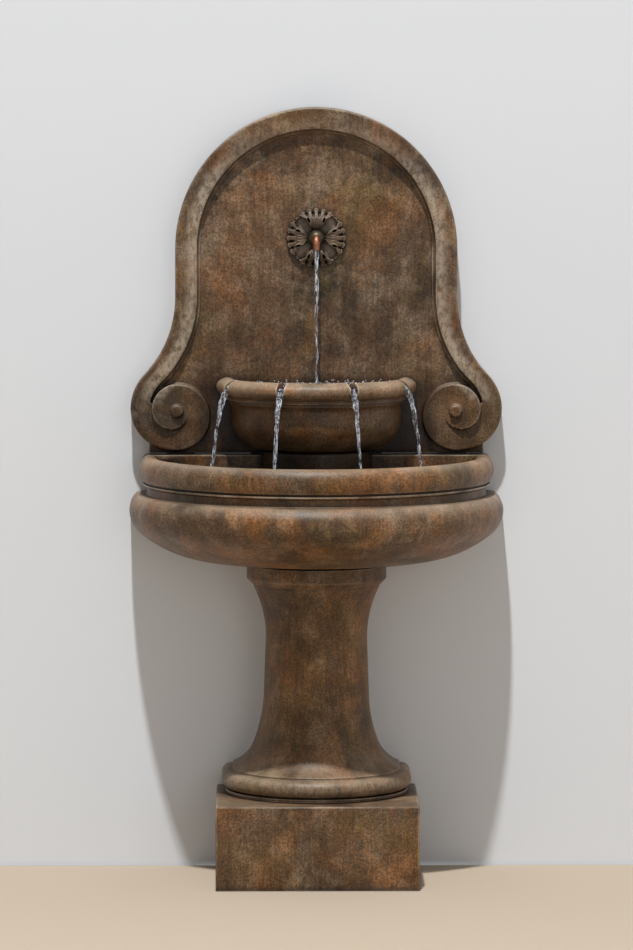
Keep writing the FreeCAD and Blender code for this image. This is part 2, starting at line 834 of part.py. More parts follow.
def tubeClear():
    low, high = tubeTurns()
    lean = math.atan2(pumpDepth - tubeDepth, high.z - low.z)
    return tubeOuterRadius / math.cos(lean) + channelWidth / 2 - tubeOuterRadius


# Round bar along straight runs joined by bends of one radius
def bar(points, bendRadius, radius):
    pieces = []
    start = points[0]
    for before, corner, after in zip(points, points[1:], points[2:]):
        into = (corner - before).normalize()
        out = (after - corner).normalize()
        bend = into.getAngle(out)
        reach = bendRadius * math.tan(bend / 2)
        begin = corner - into * reach
        finish = corner + out * reach
        normal = into.cross(out).normalize()
        centre = begin + normal.cross(into) * bendRadius
        disc = Part.Face(Part.Wire(Part.makeCircle(radius, begin, into)))
        pieces.append(cylinder(radius, (begin - start).Length, start, into))
        pieces.append(disc.revolve(centre, normal, math.degrees(bend)))
        start = finish
    last = points[-1] - start
    pieces.append(cylinder(radius, last.Length, start, last))
    return pieces[0].multiFuse(pieces[1:])


def supplyTube():
    low, high = tubeTurns()
    start = place(0, pumpDepth, tubeStart)
    end = place(0, tubeDepth, tubeEnd)
    points = [start, low, high, end]
    return bar(points, tubeBend, tubeOuterRadius).cut(bar(points, tubeBend, tubeInnerRadius))


# Worm-drive band round the supply tube, with its screw housing on the side given as -1 for the back
def hoseClamp(base, side):
    inner = tubeOuterRadius + clampFit
    outer = inner + clampBand
    band = cylinder(outer, clampHeight, base)
    ear = Part.makeBox(clampEarWidth, clampEar, clampHeight)
    earStart = outer - clampBand / 2 if side < 0 else -outer - clampEar + clampBand / 2
    ear.translate(base + FreeCAD.Vector(-clampEarWidth / 2, earStart, 0))
    return band.fuse(ear).cut(cylinder(inner, clampHeight, base)).removeSplitter()


def hoseClamps():
    low = place(0, pumpDepth, tubeStart + clampInset)
    high = place(0, tubeDepth, tubeEnd - clampInset - clampHeight)
    return Part.makeCompound([hoseClamp(low, -1), hoseClamp(high, 1)])


def spoutTube():
    top = place(0, tubeDepth, spoutZ)
    front = place(0, spoutFrontDepth, spoutZ)
    barbEnd = place(0, tubeDepth, spoutZ - spoutBarbDrop)
    mouth = place(0, spoutFrontDepth, spoutZ - spoutDrop)
    bendStart = place(0, tubeDepth, tubeEnd)
    points = [bendStart, top, front, mouth]
    barbRadius = tubeInnerRadius - tubeFit
    barbLength = bendStart.z - barbEnd.z
    tube = bar(points, spoutBend, spoutTubeRadius).cut(bar(points, spoutBend, spoutBore))
    barb = cylinder(barbRadius, barbLength, barbEnd)
    barb = barb.cut(cylinder(barbRadius - spoutBarbWall, barbLength, barbEnd))
    return fused([tube, barb])


# Point of the rosette's plan, before the rosette is moved to the headboard
def onPlan(radius, angle):
    a = math.radians(angle)
    return FreeCAD.Vector(radius * math.cos(a), 0, radius * math.sin(a))


# Leaves with scalloped ends, drawn in towards the root between one leaf and the next
def leafOutline(halfSpan, lobes, tip, valley, phase):
    edges = []
    step = 2 * halfSpan / lobes
    between = 180.0 / leafCount
    for i in range(leafCount):
        centre = phase + 2 * between * i
        previous = onPlan(valley, centre - halfSpan)
        edges.append(line(onPlan(rosetteRoot, centre - between), previous))
        for lobe in range(lobes):
            angle = centre - halfSpan + (lobe + 1) * step
            here = onPlan(valley, angle)
            edges.append(arc(previous, onPlan(tip, angle - step / 2), here))
            previous = here
        edges.append(line(previous, onPlan(rosetteRoot, centre + between)))
    return faceOf(edges)


# Dished disc: from a flat middle it rises to a ridge and falls to its edge
def dish(outer, crest, middle, edge):
    ridge = outer * dishRidge
    corners = [(0, 0), (outer, 0), (outer, edge), (ridge, crest), (heartRadius, middle), (0, middle)]
    points = [FreeCAD.Vector(radius, -height, 0) for radius, height in corners]
    edges = [line(start, end) for start, end in zip(points, points[1:] + points[:1])]
    return faceOf(edges).revolve(FreeCAD.Vector(0, 0, 0), FreeCAD.Vector(0, 1, 0), 360)


def rosette():
    ahead = FreeCAD.Vector(0, -1, 0)
    through = rosetteHeight * 2
    leaves = leafOutline(leafHalfSpan, lobeCount, rosetteRadius, rosetteValley, 0)
    leaves = leaves.extrude(ahead * through)
    leaves = leaves.common(dish(rosetteRadius, rosetteHeight, rosetteHeart, rosetteEdgeHeight))
    tips = leafOutline(tipHalfSpan, tipLobeCount, tipRadius, tipValley, 180.0 / leafCount)
    tips = tips.extrude(ahead * through).common(dish(tipRadius, tipHeight, tipHeight, tipEdgeHeight))
    flower = fused([leaves, tips])
    for i in range(leafCount):
        for side in (-1, 1):
            eye = onPlan(eyeRing, 360.0 * i / leafCount + side * eyeSpread) + ahead * eyeFloor
            flower = flower.cut(cylinder(eyeRadius, through, eye, ahead))
    flower = flower.cut(cylinder(spoutHoleRadius, through, FreeCAD.Vector(0, 0, 0), ahead))
    flower.translate(place(0, panelThickness, spoutZ))
    return flower


# Domed escutcheon round the spout, seated on the middle of the rosette
def spoutEscutcheon():
    seat = panelThickness + rosetteHeart + seatGap
    ball = Part.makeSphere(escutcheonRadius, place(0, seat, spoutZ))
    front = block(-escutcheonRadius, escutcheonRadius, seat, seat + escutcheonRadius,
                  spoutZ - escutcheonRadius, spoutZ + escutcheonRadius)
    bore = cylinder(spoutHoleRadius, escutcheonRadius * 2, place(0, seat, spoutZ), FreeCAD.Vector(0, -1, 0))
    return ball.common(front).cut(bore)


def spoutWasher():
    base = place(0, pocketDepth - washerThickness, spoutZ)
    forward = FreeCAD.Vector(0, -1, 0)
    ring = cylinder(washerRadius, washerThickness, base, forward)
    return ring.cut(cylinder(ringBore, washerThickness, base, forward))


def spoutLocknut():
    base = place(0, pocketDepth - washerThickness - locknutThickness, spoutZ)
    corners = []
    for i in range(7):
        a = math.radians(60 * i)
        corners.append(base + FreeCAD.Vector(locknutRadius * math.cos(a), 0, locknutRadius * math.sin(a)))
    nut = Part.Face(Part.makePolygon(corners)).extrude(FreeCAD.Vector(0, -locknutThickness, 0))
    return nut.cut(cylinder(ringBore, locknutThickness, base, FreeCAD.Vector(0, -1, 0)))


def pumpBlock(xLow, xHigh, shrink=0.0):
    half = pumpWidth / 2 - shrink
    shape = block(xLow, xHigh, pumpDepth - half, pumpDepth + half, pumpFoot + shrink, pumpTop - shrink)
    along = [e for e in shape.Edges if e.BoundBox.XLength > sameDistance]
    return shape.makeFillet(pumpCorner - shrink, along)


def alongX(radius, xLow, xHigh):
    return cylinder(radius, xHigh - xLow, place(xLow, pumpDepth, rotorZ), FreeCAD.Vector(1, 0, 0))


def pumpCasing():
    body = pumpBlock(motorStart, motorEnd)
    cavity = alongX(rotorRadius + rotorGap, motorStart, cavityEnd)
    seat = alongX(bushRadius, cavityEnd, cavityEnd + bushLength)
    return body.cut(cavity).cut(seat)


# Spider that holds the front bush in the middle of the chamber's inlet
def inletSpider():
    hub = alongX(bushRadius + bushWall, chamberStart, chamberStart + chamberWall)
    spokes = []
    for i in range(spokeCount):
        spoke = Part.makeBox(chamberWall, spokeWidth, inletBore + spokeRoot,
                             FreeCAD.Vector(0, -spokeWidth / 2, 0))
        spoke.rotate(FreeCAD.Vector(0, 0, 0), FreeCAD.Vector(1, 0, 0), 360.0 * i / spokeCount)
        spoke.translate(place(chamberStart, pumpDepth, rotorZ))
        spokes.append(spoke)
    return [hub] + spokes


def pumpChamber():
    body = pumpBlock(chamberStart, motorStart)
    cavity = alongX(chamberRadius, chamberStart + chamberWall, motorStart)
    inlet = alongX(inletBore, chamberStart, chamberStart + chamberWall)
    nozzleFoot = place(0, pumpDepth, pumpTop - chamberWall)
    nozzle = cylinder(tubeInnerRadius - tubeFit, nozzleLength + chamberWall, nozzleFoot)
    passageFoot = place(0, pumpDepth, rotorZ + bushRadius)
    passage = cylinder(tubeInnerRadius - nozzleWall, nozzleLength + pumpHeight, passageFoot)
    body = fused([body.cut(cavity).cut(inlet), nozzle] + inletSpider()).cut(passage)
    return body.cut(alongX(bushRadius, chamberStart, chamberStart + chamberWall))


def shaftBushes():
    near = alongX(bushRadius, chamberStart, chamberStart + bushLength)
    far = alongX(bushRadius, cavityEnd, cavityEnd + bushLength)
    bore = alongX(shaftRadius + shaftFit, chamberStart, shaftEnd)
    return Part.makeCompound([near.cut(bore), far.cut(bore)])


def rotorShaft():
    return alongX(shaftRadius, shaftStart, shaftEnd)


def rotorMagnet():
    bore = alongX(shaftRadius + shaftFit, rotorStart, rotorEnd)
    return alongX(rotorRadius, rotorStart, rotorEnd).cut(bore)


def impeller():
    start = chamberStart + bushLength + rotorEndGap
    hub = alongX(impellerHub, start, rotorStart)
    plate = alongX(impellerPlateRadius, start + bladeLength, start + bladeLength + bladeThickness)
    blades = []
    for i in range(bladeCount):
        blade = Part.makeBox(bladeLength, bladeThickness, impellerRadius - bladeRoot,
                             FreeCAD.Vector(0, -bladeThickness / 2, bladeRoot))
        blade.rotate(FreeCAD.Vector(0, 0, 0), FreeCAD.Vector(1, 0, 0), 360.0 * i / bladeCount)
        blade.translate(place(start, pumpDepth, rotorZ))
        blades.append(blade)
    wheel = fused([hub, plate] + blades)
    return wheel.cut(alongX(shaftRadius + shaftFit, start, rotorStart))


def pumpCover():
    shell = pumpBlock(coverStart, chamberStart)
    hollow = pumpBlock(coverStart + coverWall, chamberStart, coverWall)
    shell = shell.cut(hollow)
    for i in range(slotCount):
        z = rotorZ + (i - (slotCount - 1) / 2) * slotPitch
        shell = shell.cut(block(coverStart + pumpCorner, chamberStart - pumpCorner, pumpDepth - pumpWidth,
                                pumpDepth + pumpWidth, z - slotWidth / 2, z + slotWidth / 2))
    return shell.cut(alongX(dialPinRadius + dialFit, coverStart, coverStart + coverWall))


# Dial on the cover's outside, with a pin through the cover to a half-round shutter inside
def flowDial():
    knobEnd = coverStart - dialFit
    gripEnd = knobEnd - dialThickness
    shutterStart = coverStart + coverWall + dialFit
    shutterEnd = shutterStart + shutterThickness
    knob = alongX(dialRadius, gripEnd, knobEnd)
    grip = block(gripEnd - dialGrip, gripEnd, pumpDepth - dialGrip / 2, pumpDepth + dialGrip / 2,
                 rotorZ - dialGripReach, rotorZ + dialGripReach)
    pin = alongX(dialPinRadius, knobEnd, shutterEnd)
    lowerHalf = block(shutterStart, shutterEnd, pumpDepth - shutterRadius, pumpDepth + shutterRadius,
                      rotorZ - shutterRadius, rotorZ)
    return fused([knob, grip, pin, alongX(shutterRadius, shutterStart, shutterEnd).common(lowerHalf)])


def suctionFeet():
    feet = []
    for x in (motorEnd - feetInset, chamberStart + feetInset):
        for side in (-1, 1):
            base = place(x, pumpDepth + side * (pumpWidth / 2 - feetInset), basinFloor)
            feet.append(Part.makeCone(feetRadius, feetRadius / 2, feetHeight, base))
    return Part.makeCompound(feet)


def cordGland():
    base = place(motorEnd, pumpDepth, pumpFoot + glandRise)
    return cylinder(glandRadius, glandLength, base, FreeCAD.Vector(1, 0, 0))


def drainStopper():
    z = basinFloor + seatGap
    foot = place(0, stopperDepth, z - stopperLength)
    plug = Part.makeCone(stopperHole - stopperTaper, stopperHole - seatGap, stopperLength, foot)
    flange = cylinder(stopperFlange, stopperFlangeHeight, place(0, stopperDepth, z))
    return fused([plug, flange]).cut(cylinder(stopperCord, stopperLength + stopperFlangeHeight, foot))


def settingPads():
    pads = []
    outerX = footHalfWidth - padInset
    for x in (-outerX, -padInnerX, padInnerX, outerX):
        pads.append(block(x - padLength / 2, x + padLength / 2, (panelThickness - padWidth) / 2,
                          (panelThickness + padWidth) / 2, basinTop, headFoot))
    return Part.makeCompound(pads)


builders = {
    "base_plinth": plinth,
    "pedestal": pedestal,
    "lower_basin": lowerBasin,
    "headboard": headboard,
    "setting_pads": settingPads,
    "upper_bowl": upperBowl,
    "bowl_support": bowlSupport,
    "rosette": rosette,
    "spout_escutcheon": spoutEscutcheon,
    "spout_tube": spoutTube,
    "spout_washer": spoutWasher,
    "spout_locknut": spoutLocknut,
    "supply_tube": supplyTube,
    "hose_clamps": hoseClamps,
    "pump_casing": pumpCasing,
    "pump_chamber": pumpChamber,
    "pump_cover": pumpCover,
    "flow_dial": flowDial,
    "impeller": impeller,
    "rotor_magnet": rotorMagnet,
    "rotor_shaft": rotorShaft,
    "shaft_bushes": shaftBushes,
    "suction_feet": suctionFeet,
    "cord_gland": cordGland,
    "drain_stopper": drainStopper,
}

os.makedirs("parts", exist_ok=True)
for node, build in builders.items():
    shape = build()
    shape.exportStep("parts/" + node + ".step")
    print(node, len(shape.Solids), "solids", round(shape.Volume / 1000, 1), "cm3", shape.isValid())
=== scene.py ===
import bpy
import bmesh
import math
from functools import partial
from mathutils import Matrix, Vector, noise


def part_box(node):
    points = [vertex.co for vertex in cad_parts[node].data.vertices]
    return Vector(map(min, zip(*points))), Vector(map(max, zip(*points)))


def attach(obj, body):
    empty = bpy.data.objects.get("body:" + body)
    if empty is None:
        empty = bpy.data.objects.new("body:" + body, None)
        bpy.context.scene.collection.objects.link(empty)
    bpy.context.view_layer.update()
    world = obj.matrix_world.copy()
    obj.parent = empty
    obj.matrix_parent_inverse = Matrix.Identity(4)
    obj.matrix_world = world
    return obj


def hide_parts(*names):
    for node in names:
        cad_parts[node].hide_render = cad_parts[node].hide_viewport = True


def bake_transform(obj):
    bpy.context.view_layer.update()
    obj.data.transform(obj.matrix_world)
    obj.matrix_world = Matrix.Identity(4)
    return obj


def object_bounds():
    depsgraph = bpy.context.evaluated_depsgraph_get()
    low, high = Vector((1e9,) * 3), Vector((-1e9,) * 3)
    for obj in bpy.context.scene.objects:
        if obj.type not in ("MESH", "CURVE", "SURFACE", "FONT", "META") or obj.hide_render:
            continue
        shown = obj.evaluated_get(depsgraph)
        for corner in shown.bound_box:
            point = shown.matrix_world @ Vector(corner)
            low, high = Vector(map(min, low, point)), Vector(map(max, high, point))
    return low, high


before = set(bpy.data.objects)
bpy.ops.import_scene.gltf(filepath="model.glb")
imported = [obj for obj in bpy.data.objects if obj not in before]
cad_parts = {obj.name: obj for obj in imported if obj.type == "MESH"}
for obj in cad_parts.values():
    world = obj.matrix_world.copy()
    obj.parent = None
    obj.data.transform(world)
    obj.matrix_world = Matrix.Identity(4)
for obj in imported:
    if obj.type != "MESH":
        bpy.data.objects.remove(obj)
cadLow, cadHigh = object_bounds()
scene = bpy.context.scene
mm = 0.001
wallY = cadHigh.y  # every casting ends flat on this plane
print("frame loaded:", len(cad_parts), "nodes")


def toLinear(hexColour):
    channels = [int(hexColour[i:i + 2], 16) / 255 for i in (1, 3, 5)]
    linear = [c / 12.92 if c <= 0.04045 else ((c + 0.055) / 1.055) ** 2.4 for c in channels]
    return (*linear, 1.0)


# A kind that doesn't say otherwise is a shader node; a link comes from a socket or a node's first output
def addNode(tree, kind, values=None, links=None, **settings):
    node = tree.nodes.new(kind if "Node" in kind else "ShaderNode" + kind)
    for name, value in settings.items():
        setattr(node, name, value)
    for name, value in (values or {}).items():
        node.inputs[name].default_value = value
    for name, source in (links or {}).items():
        tree.links.new(getattr(source, "outputs", [source])[0], node.inputs[name])
    return node


def newMaterial(name):
    material = bpy.data.materials.new(name)
    material.use_nodes = True
    material.node_tree.nodes.clear()
    return material, partial(addNode, material.node_tree)


def newObject(name, data):
    obj = bpy.data.objects.new(name, data)
    scene.collection.objects.link(obj)
    return obj


def meshObject(name, vertices, faces):
    mesh = bpy.data.meshes.new(name)
    mesh.from_pydata([tuple(v) for v in vertices], [], faces)
    mesh.validate()
    return newObject(name, mesh)


def tidyMesh(obj, mergeDistance=0.00001):
    work = bmesh.new()
    work.from_mesh(obj.data)
    bmesh.ops.remove_doubles(work, verts=work.verts, dist=mergeDistance)
    bmesh.ops.recalc_face_normals(work, faces=work.faces)
    work.to_mesh(obj.data)
    work.free()


def applied(obj):
    evaluated = obj.evaluated_get(bpy.context.evaluated_depsgraph_get())
    mesh = bpy.data.meshes.new_from_object(evaluated)
    obj.modifiers.clear()
    old = obj.data
    obj.data = mesh
    mesh.name = obj.name
    bpy.data.meshes.remove(old)
    return obj


def cut(obj, tool):
    difference = obj.modifiers.new("cut", "BOOLEAN")
    difference.operation = "DIFFERENCE"
    difference.solver = "EXACT"
    difference.object = tool
    applied(obj)
    bpy.data.objects.remove(tool)


def setMaterial(obj, material):
    obj.data.materials.clear()
    obj.data.materials.append(material)


def smoothStep(low, high, value):
    t = min(1.0, max(0.0, (value - low) / (high - low)))
    return t * t * (3 - 2 * t)


view = {
    "position": (-0.118, -11.165, 1.8135),
    "target": (0.001, 0.235, 0.843),
    "lens": 202.6,
    "sensor": 36.0,
    "clipEnd": 60.0,
}


def newAimed(name, data, place, target):
    obj = newObject(name, data)
    obj.location = place
    obj.rotation_euler = (Vector(target) - obj.location).to_track_quat("-Z", "Y").to_euler()
    return obj


def placeCamera():
    data = bpy.data.cameras.new("camera")
    camera = newAimed("camera", data, view["position"], view["target"])
    camera.data.lens = view["lens"]
    camera.data.sensor_width = view["sensor"]
    camera.data.clip_end = view["clipEnd"]
    scene.camera = camera


stage = {  # lengths in metres
    "floorHex": "#b3a491",
    "wallHex": "#d6d9dd",
    "roughness": 0.95,
    "reach": 4.0,  # to each side
    "wallHeight": 5.0,
    "wallGap": 0.0015,  # the wall stands this far behind the castings
    "floorGap": 0.0005,
    "passes": 0.012,  # light that starts nearer than this goes through, so that the castings' back is lit
}


# Board that shows its front only, so that the back and the underside can be looked at
def stageBoard(name, corners, colourHex):
    board = meshObject(name, corners, [(0, 1, 2, 3)])
    material, add = newMaterial(name)
    paint = add("BsdfPrincipled", {"Base Color": toLinear(colourHex), "Roughness": stage["roughness"]})
    clear = add("BsdfTransparent")
    behind = add("NewGeometry").outputs["Backfacing"]
    length = add("LightPath").outputs["Ray Length"]
    near = add("Math", {1: stage["passes"]}, {0: length}, operation="LESS_THAN")
    through = add("Math", links={0: behind, 1: near}, operation="MAXIMUM")
    mix = add("MixShader", links={0: through, 1: paint, 2: clear})
    add("OutputMaterial", links={"Surface": mix})
    setMaterial(board, material)


def buildStage():
    reach, top = stage["reach"], stage["wallHeight"]
    back, foot = wallY + stage["wallGap"], -stage["floorGap"]
    left, right = (-reach, back, foot), (reach, back, foot)
    floor = [(-reach, -reach, foot), (reach, -reach, foot), right, left]
    stageBoard("paintedFloor", floor, stage["floorHex"])
    stageBoard("plasteredWall", [left, right, (reach, back, top), (-reach, back, top)], stage["wallHex"])


# The key stands high and a little left, as in the photograph, and is soft enough for a studio
lights = {
    "key": {"position": (-0.63, -4.85, 11.8), "size": 0.38, "watts": 1600.0},
    "fill": {"position": (2.6, -7.0, 1.6), "size": 3.0, "watts": 25.0},
    "aim": (0.0, 0.0, 0.9),
    "world": (0.27, 0.54),  # strength from the left and from the right
    "backgroundHex": "#d3d5d8",
}


def buildLamps():
    for name in ("key", "fill"):
        values = lights[name]
        lamp = bpy.data.lights.new(name, "AREA")
        lamp.shape = "DISK"
        lamp.size = values["size"]
        lamp.energy = values["watts"]
        newAimed(name, lamp, values["position"], lights["aim"])


def buildWorld():
    world = bpy.data.worlds.new("studio")
    world.use_nodes = True
    world.node_tree.nodes.clear()
    add = partial(addNode, world.node_tree)
    rays = add("LightPath").outputs
    shown = add("Math", links={0: rays["Is Camera Ray"], 1: rays["Is Transmission Ray"]},
            operation="MAXIMUM")
    seen = add("Background", {"Color": toLinear(lights["backgroundHex"])})
    towards = add("TexCoord").outputs["Generated"]
    across = add("SeparateXYZ", links={0: towards})
    left, right = lights["world"]
    strength = add("MapRange", {"From Min": -1.0, "From Max": 1.0, "To Min": left, "To Max": right},
            {"Value": across})
    lit = add("Background", {"Color": (1, 1, 1, 1)}, {"Strength": strength})
    mix = add("MixShader", links={0: shown, 1: lit, 2: seen})
    add("OutputWorld", links={"Surface": mix})
    scene.world = world


scene.view_settings.view_transform = "Standard"
placeCamera()
buildStage()
buildLamps()
buildWorld()
print("camera, stage and lights placed")


# Cast stone, a sandy cement mix pressed in a mould, with a brown acid-stain patina:
# matt and gritty, mottled in umber, rust and olive, run down in streaks, pale where it is rubbed
stoneLook = {
    "shift": (0.0, 0.0, 0.0),
    "aside": (7.0, 3.0, 5.0),  # where the olive stains are read, away from the rust
    "umberHex": "#362617",
    "brownHex": "#6c5138",
    "greyHex": "#7c6c5a",
    "rustHex": "#875629",
    "oliveHex": "#57491a",
    "paleHex": "#c3b4a0",
    # Colour for creases and hollows, as grime and as painted shade
    "grimeHex": "#120b06",
    # Colour that wet places are multiplied by; where they lie in shadow it also paints shade
    "wetHex": "#988a78",
    "rust": 0.5,
    "olive": 0.45,
    "grey": 0.4,
    "dust": 0.3,
    "blotch": 210.0,  # sizes in millimetres, across one stain, run or grain
    "patch": 60.0,
    "stain": 150.0,
    "streak": (38.0, 420.0),  # across and down
    "drip": (5.0, 60.0),
    "scratch": (8.0, 13.0),
    "grain": 4.0,  # sand is finer, drawn at this size so that it shows
    # Pale line along convex edges, partly rubbed wear and partly a painted highlight
    "rubbedEdge": 3.5,
    # How far the darkening in creases reaches and how strong it is, part grime and part painted shade
    "crease": 36.0,
    "grime": 0.85,
    "roughness": 0.43,
    "wetRoughness": 0.3,
    "patchShare": 0.3,  # of the relief, the rest is grain
    "bump": (0.6, 0.0016),  # strength and height in metres
    "bend": 1.4,  # of light, as in a sealed stone
}


def stoneClouds(add, look):
    coords = add("TexCoord").outputs["Object"]
    moved = add("Mapping", {"Location": look["shift"]}, {"Vector": coords})
    aside = add("Mapping", {"Location": look["aside"]}, {"Vector": moved})
    kinds = {  # size, detail, twist, roughness, and where it is read
        "blotch": (look["blotch"], 6.0, 0.5, 0.66, moved),
        "patch": (look["patch"], 7.0, 0.2, 0.66, moved),
        "rustStain": (look["stain"], 7.0, 0.9, 0.66, moved),
        "oliveStain": (look["stain"], 6.0, 0.6, 0.66, aside),
        "grain": (look["grain"], 3.0, 0.0, 0.75, moved),
    }
    clouds = {}
    for cloud, (size, detail, twist, rough, place) in kinds.items():
        clouds[cloud] = add("TexNoise", {"Scale": 1000 / size, "Detail": detail, "Roughness": rough,
                "Distortion": twist}, {"Vector": place})
    for run in ("streak", "drip", "scratch"):
        across, down = look[run]
        drawn = add("Mapping", {"Scale": (1000 / across, 1000 / across, 1000 / down)}, {"Vector": moved})
        clouds[run] = add("TexNoise", {"Scale": 1.0, "Detail": 4.0, "Roughness": 0.6}, {"Vector": drawn})
    return clouds


# Umber and brown ground under thin washes of grey, rust and olive, lighter and darker with the grain;
# of a Mix node, sockets 6 and 7 and output 2 are its colours
def stoneGround(add, look, clouds):
    ground = add("MapRange", {"From Min": 0.34, "From Max": 0.62}, {"Value": clouds["blotch"]})
    colour = add("Mix", {6: toLinear(look["umberHex"]), 7: toLinear(look["brownHex"])}, {0: ground},
            data_type="RGBA").outputs[2]
    washes = (  # where each wash starts and is full, how strongly it covers, and its colour
        ("patch", 0.47, 0.64, look["grey"], "greyHex"),
        ("rustStain", 0.46, 0.66, look["rust"], "rustHex"),
        ("oliveStain", 0.50, 0.68, look["olive"], "oliveHex"),
        ("streak", 0.54, 0.72, 0.30, "greyHex"),
        ("streak", 0.46, 0.28, 0.45, "umberHex"),
    )
    for cloud, start, full, strength, tint in washes:
        mask = add("MapRange", {"From Min": start, "From Max": full, "To Max": strength},
                {"Value": clouds[cloud]})
        colour = add("Mix", {7: toLinear(look[tint])}, {0: mask, 6: colour}, data_type="RGBA").outputs[2]
    for cloud, dark, light in (("drip", 0.84, 1.16), ("patch", 0.74, 1.24), ("grain", 0.56, 1.46)):
        value = add("MapRange", {"From Min": 0.38, "From Max": 0.62, "To Min": dark, "To Max": light},
                {"Value": clouds[cloud]})
        colour = add("HueSaturation", links={"Value": value, "Color": colour})
    return colour


# What wear and painted light add, in order: rubbed edges pale in patches, partly as painted highlight, dusty
# upward faces pale, grime with painted shade in creases, and wet darkening that partly paints shade
def stoneWear(add, look, clouds):
    # Convex edges made pale: partly rubbed wear, partly a painted highlight where arrises catch the light
    inward = add("AmbientOcclusion", {"Distance": look["rubbedEdge"] * mm}, samples=4, inside=True,
            only_local=True).outputs["AO"]
    # Ambient occlusion that darkens creases: grime, and painted shade where shade falls
    around = add("AmbientOcclusion", {"Distance": look["crease"] * mm}, samples=6).outputs["AO"]
    normal = add("NewGeometry").outputs["Normal"]
    facing = add("SeparateXYZ", links={0: normal}).outputs
    rubbed = add("Attribute", attribute_name="rubbed").outputs["Fac"]
    pales = (  # the source, where it starts and is full, how strongly, and the cloud that breaks it up
        (inward, 0.92, 0.68, 0.90, "patch"),
        (facing["Z"], 0.25, 0.95, look["dust"], "blotch"),
        (rubbed, 0.00, 1.00, 0.55, "scratch"),
    )
    coats = []
    for source, start, full, strength, cloud in pales:
        reach = add("MapRange", {"From Min": start, "From Max": full, "To Max": strength},
                {"Value": source})
        broken = add("MapRange", {"From Min": 0.38, "From Max": 0.58, "To Min": 0.25},
                {"Value": clouds[cloud]})
        mask = add("Math", links={0: reach, 1: broken}, operation="MULTIPLY")
        coats.append((mask, "paleHex", "MIX"))
    toWall = add("MapRange", {"From Min": 0.90, "From Max": 0.98}, {"Value": facing["Y"]})
    exposed = add("Math", links={0: around, 1: toWall}, operation="MAXIMUM")
    grime = add("MapRange", {"From Min": 0.88, "From Max": 0.30, "To Max": look["grime"]},
            {"Value": exposed})
    # Wet darkening, which in the basin, behind the bowl and on the support also paints shade
    wet = add("Attribute", attribute_name="wet").outputs["Fac"]
    return coats + [(grime, "grimeHex", "MIX"), (wet, "wetHex", "MULTIPLY")]


def castStone(name, **finish):
    look = {**stoneLook, **finish}
    material, add = newMaterial(name)
    clouds = stoneClouds(add, look)
    colour = stoneGround(add, look, clouds)
    coats = stoneWear(add, look, clouds)
    for mask, tint, blend in coats:
        colour = add("Mix", {7: toLinear(look[tint])}, {0: mask, 6: colour}, data_type="RGBA",
                blend_type=blend).outputs[2]
    wet = coats[-1][0]
    height = add("Mix", {0: look["patchShare"]}, {6: clouds["grain"], 7: clouds["patch"]},
            data_type="RGBA").outputs[2]
    strength, distance = look["bump"]
    bump = add("Bump", {"Strength": strength, "Distance": distance}, {"Height": height})
    rough = add("MapRange", {"From Max": 1.0, "To Min": look["roughness"], "To Max": look["wetRoughness"]},
            {"Value": wet})
    shader = add("BsdfPrincipled", {"IOR": look["bend"]},
            {"Base Color": colour, "Roughness": rough, "Normal": bump})
    add("OutputMaterial", links={"Surface": shader})
    return material


# Finish of a fitting: clouds and grain in millimetres, vary is its share of lighter and darker
def plainFinish(name, colourHex, roughness, metallic=0.0, cloud=16.0, vary=0.12, grain=1.2, depth=0.0002,
        **sockets):
    material, add = newMaterial(name)
    coords = add("TexCoord").outputs["Object"]
    soft = add("TexNoise", {"Scale": 1000 / cloud, "Detail": 5.0}, {"Vector": coords})
    fine = add("TexNoise", {"Scale": 1000 / grain, "Detail": 2.0}, {"Vector": coords})
    value = add("MapRange", {"From Min": 0.35, "From Max": 0.65, "To Min": 1 - vary, "To Max": 1 + vary},
            {"Value": soft})
    colour = add("HueSaturation", {"Color": toLinear(colourHex)}, {"Value": value})
    rough = add("MapRange", {"From Min": 0.3, "From Max": 0.7, "To Min": roughness - 0.07,
            "To Max": roughness + 0.08}, {"Value": soft})
    relief = add("Bump", {"Strength": 0.3, "Distance": depth}, {"Height": fine})
    shader = add("BsdfPrincipled", {"Metallic": metallic, **sockets},
            {"Base Color": colour, "Roughness": rough, "Normal": relief})
    add("OutputMaterial", links={"Surface": shader})
    return material


# Colour and roughness of clear water and of white, and how it bends light
waterLook = {"clearHex": "#e4e9ee", "whiteHex": "#d4d8e0", "clear": 0.02, "white": 0.2, "bend": 1.33}


# Running water: clear, with beaten-in air that shows as white threads drawn along the fall
def runningWater(name, airStart, airFull, thread, drawnOut=1.0):
    material, add = newMaterial(name)
    coords = add("TexCoord").outputs["Object"]
    rate = 1000 / thread
    drawn = add("Mapping", {"Scale": (rate, rate, rate / drawnOut)}, {"Vector": coords})
    threads = add("TexNoise", {"Scale": 1.0, "Detail": 3.0, "Roughness": 0.6}, {"Vector": drawn})
    air = add("MapRange", {"From Min": airStart, "From Max": airFull}, {"Value": threads})
    clear, white = [add("BsdfPrincipled", {"Base Color": toLinear(waterLook[part + "Hex"]),
            "Roughness": waterLook[part], "IOR": waterLook["bend"], "Transmission Weight": passes})
            for part, passes in (("clear", 1.0), ("white", 0.0))]
    mix = add("MixShader", links={0: air, 1: clear, 2: white})
    add("OutputMaterial", links={"Surface": mix})
    return material


# The same stone on every casting, stained and worn to its own degree
plinthStone = castStone("castStonePlinth", shift=(3.1, 0.4, 1.7), rust=0.5, dust=0.15, crease=18.0)
pedestalStone = castStone("castStonePedestal", shift=(0.3, 2.2, 5.1), rust=0.7, grey=0.25, olive=0.6,
        crease=12.0, umberHex="#3b2915", brownHex="#74542f")
# The basin's dark wet colour also paints the shade on its inner back wall
basinStone = castStone("castStoneBasin", shift=(1.2, 0.9, 0.6), rust=0.85, crease=24.0, grime=0.92,
        wetHex="#433a2e")
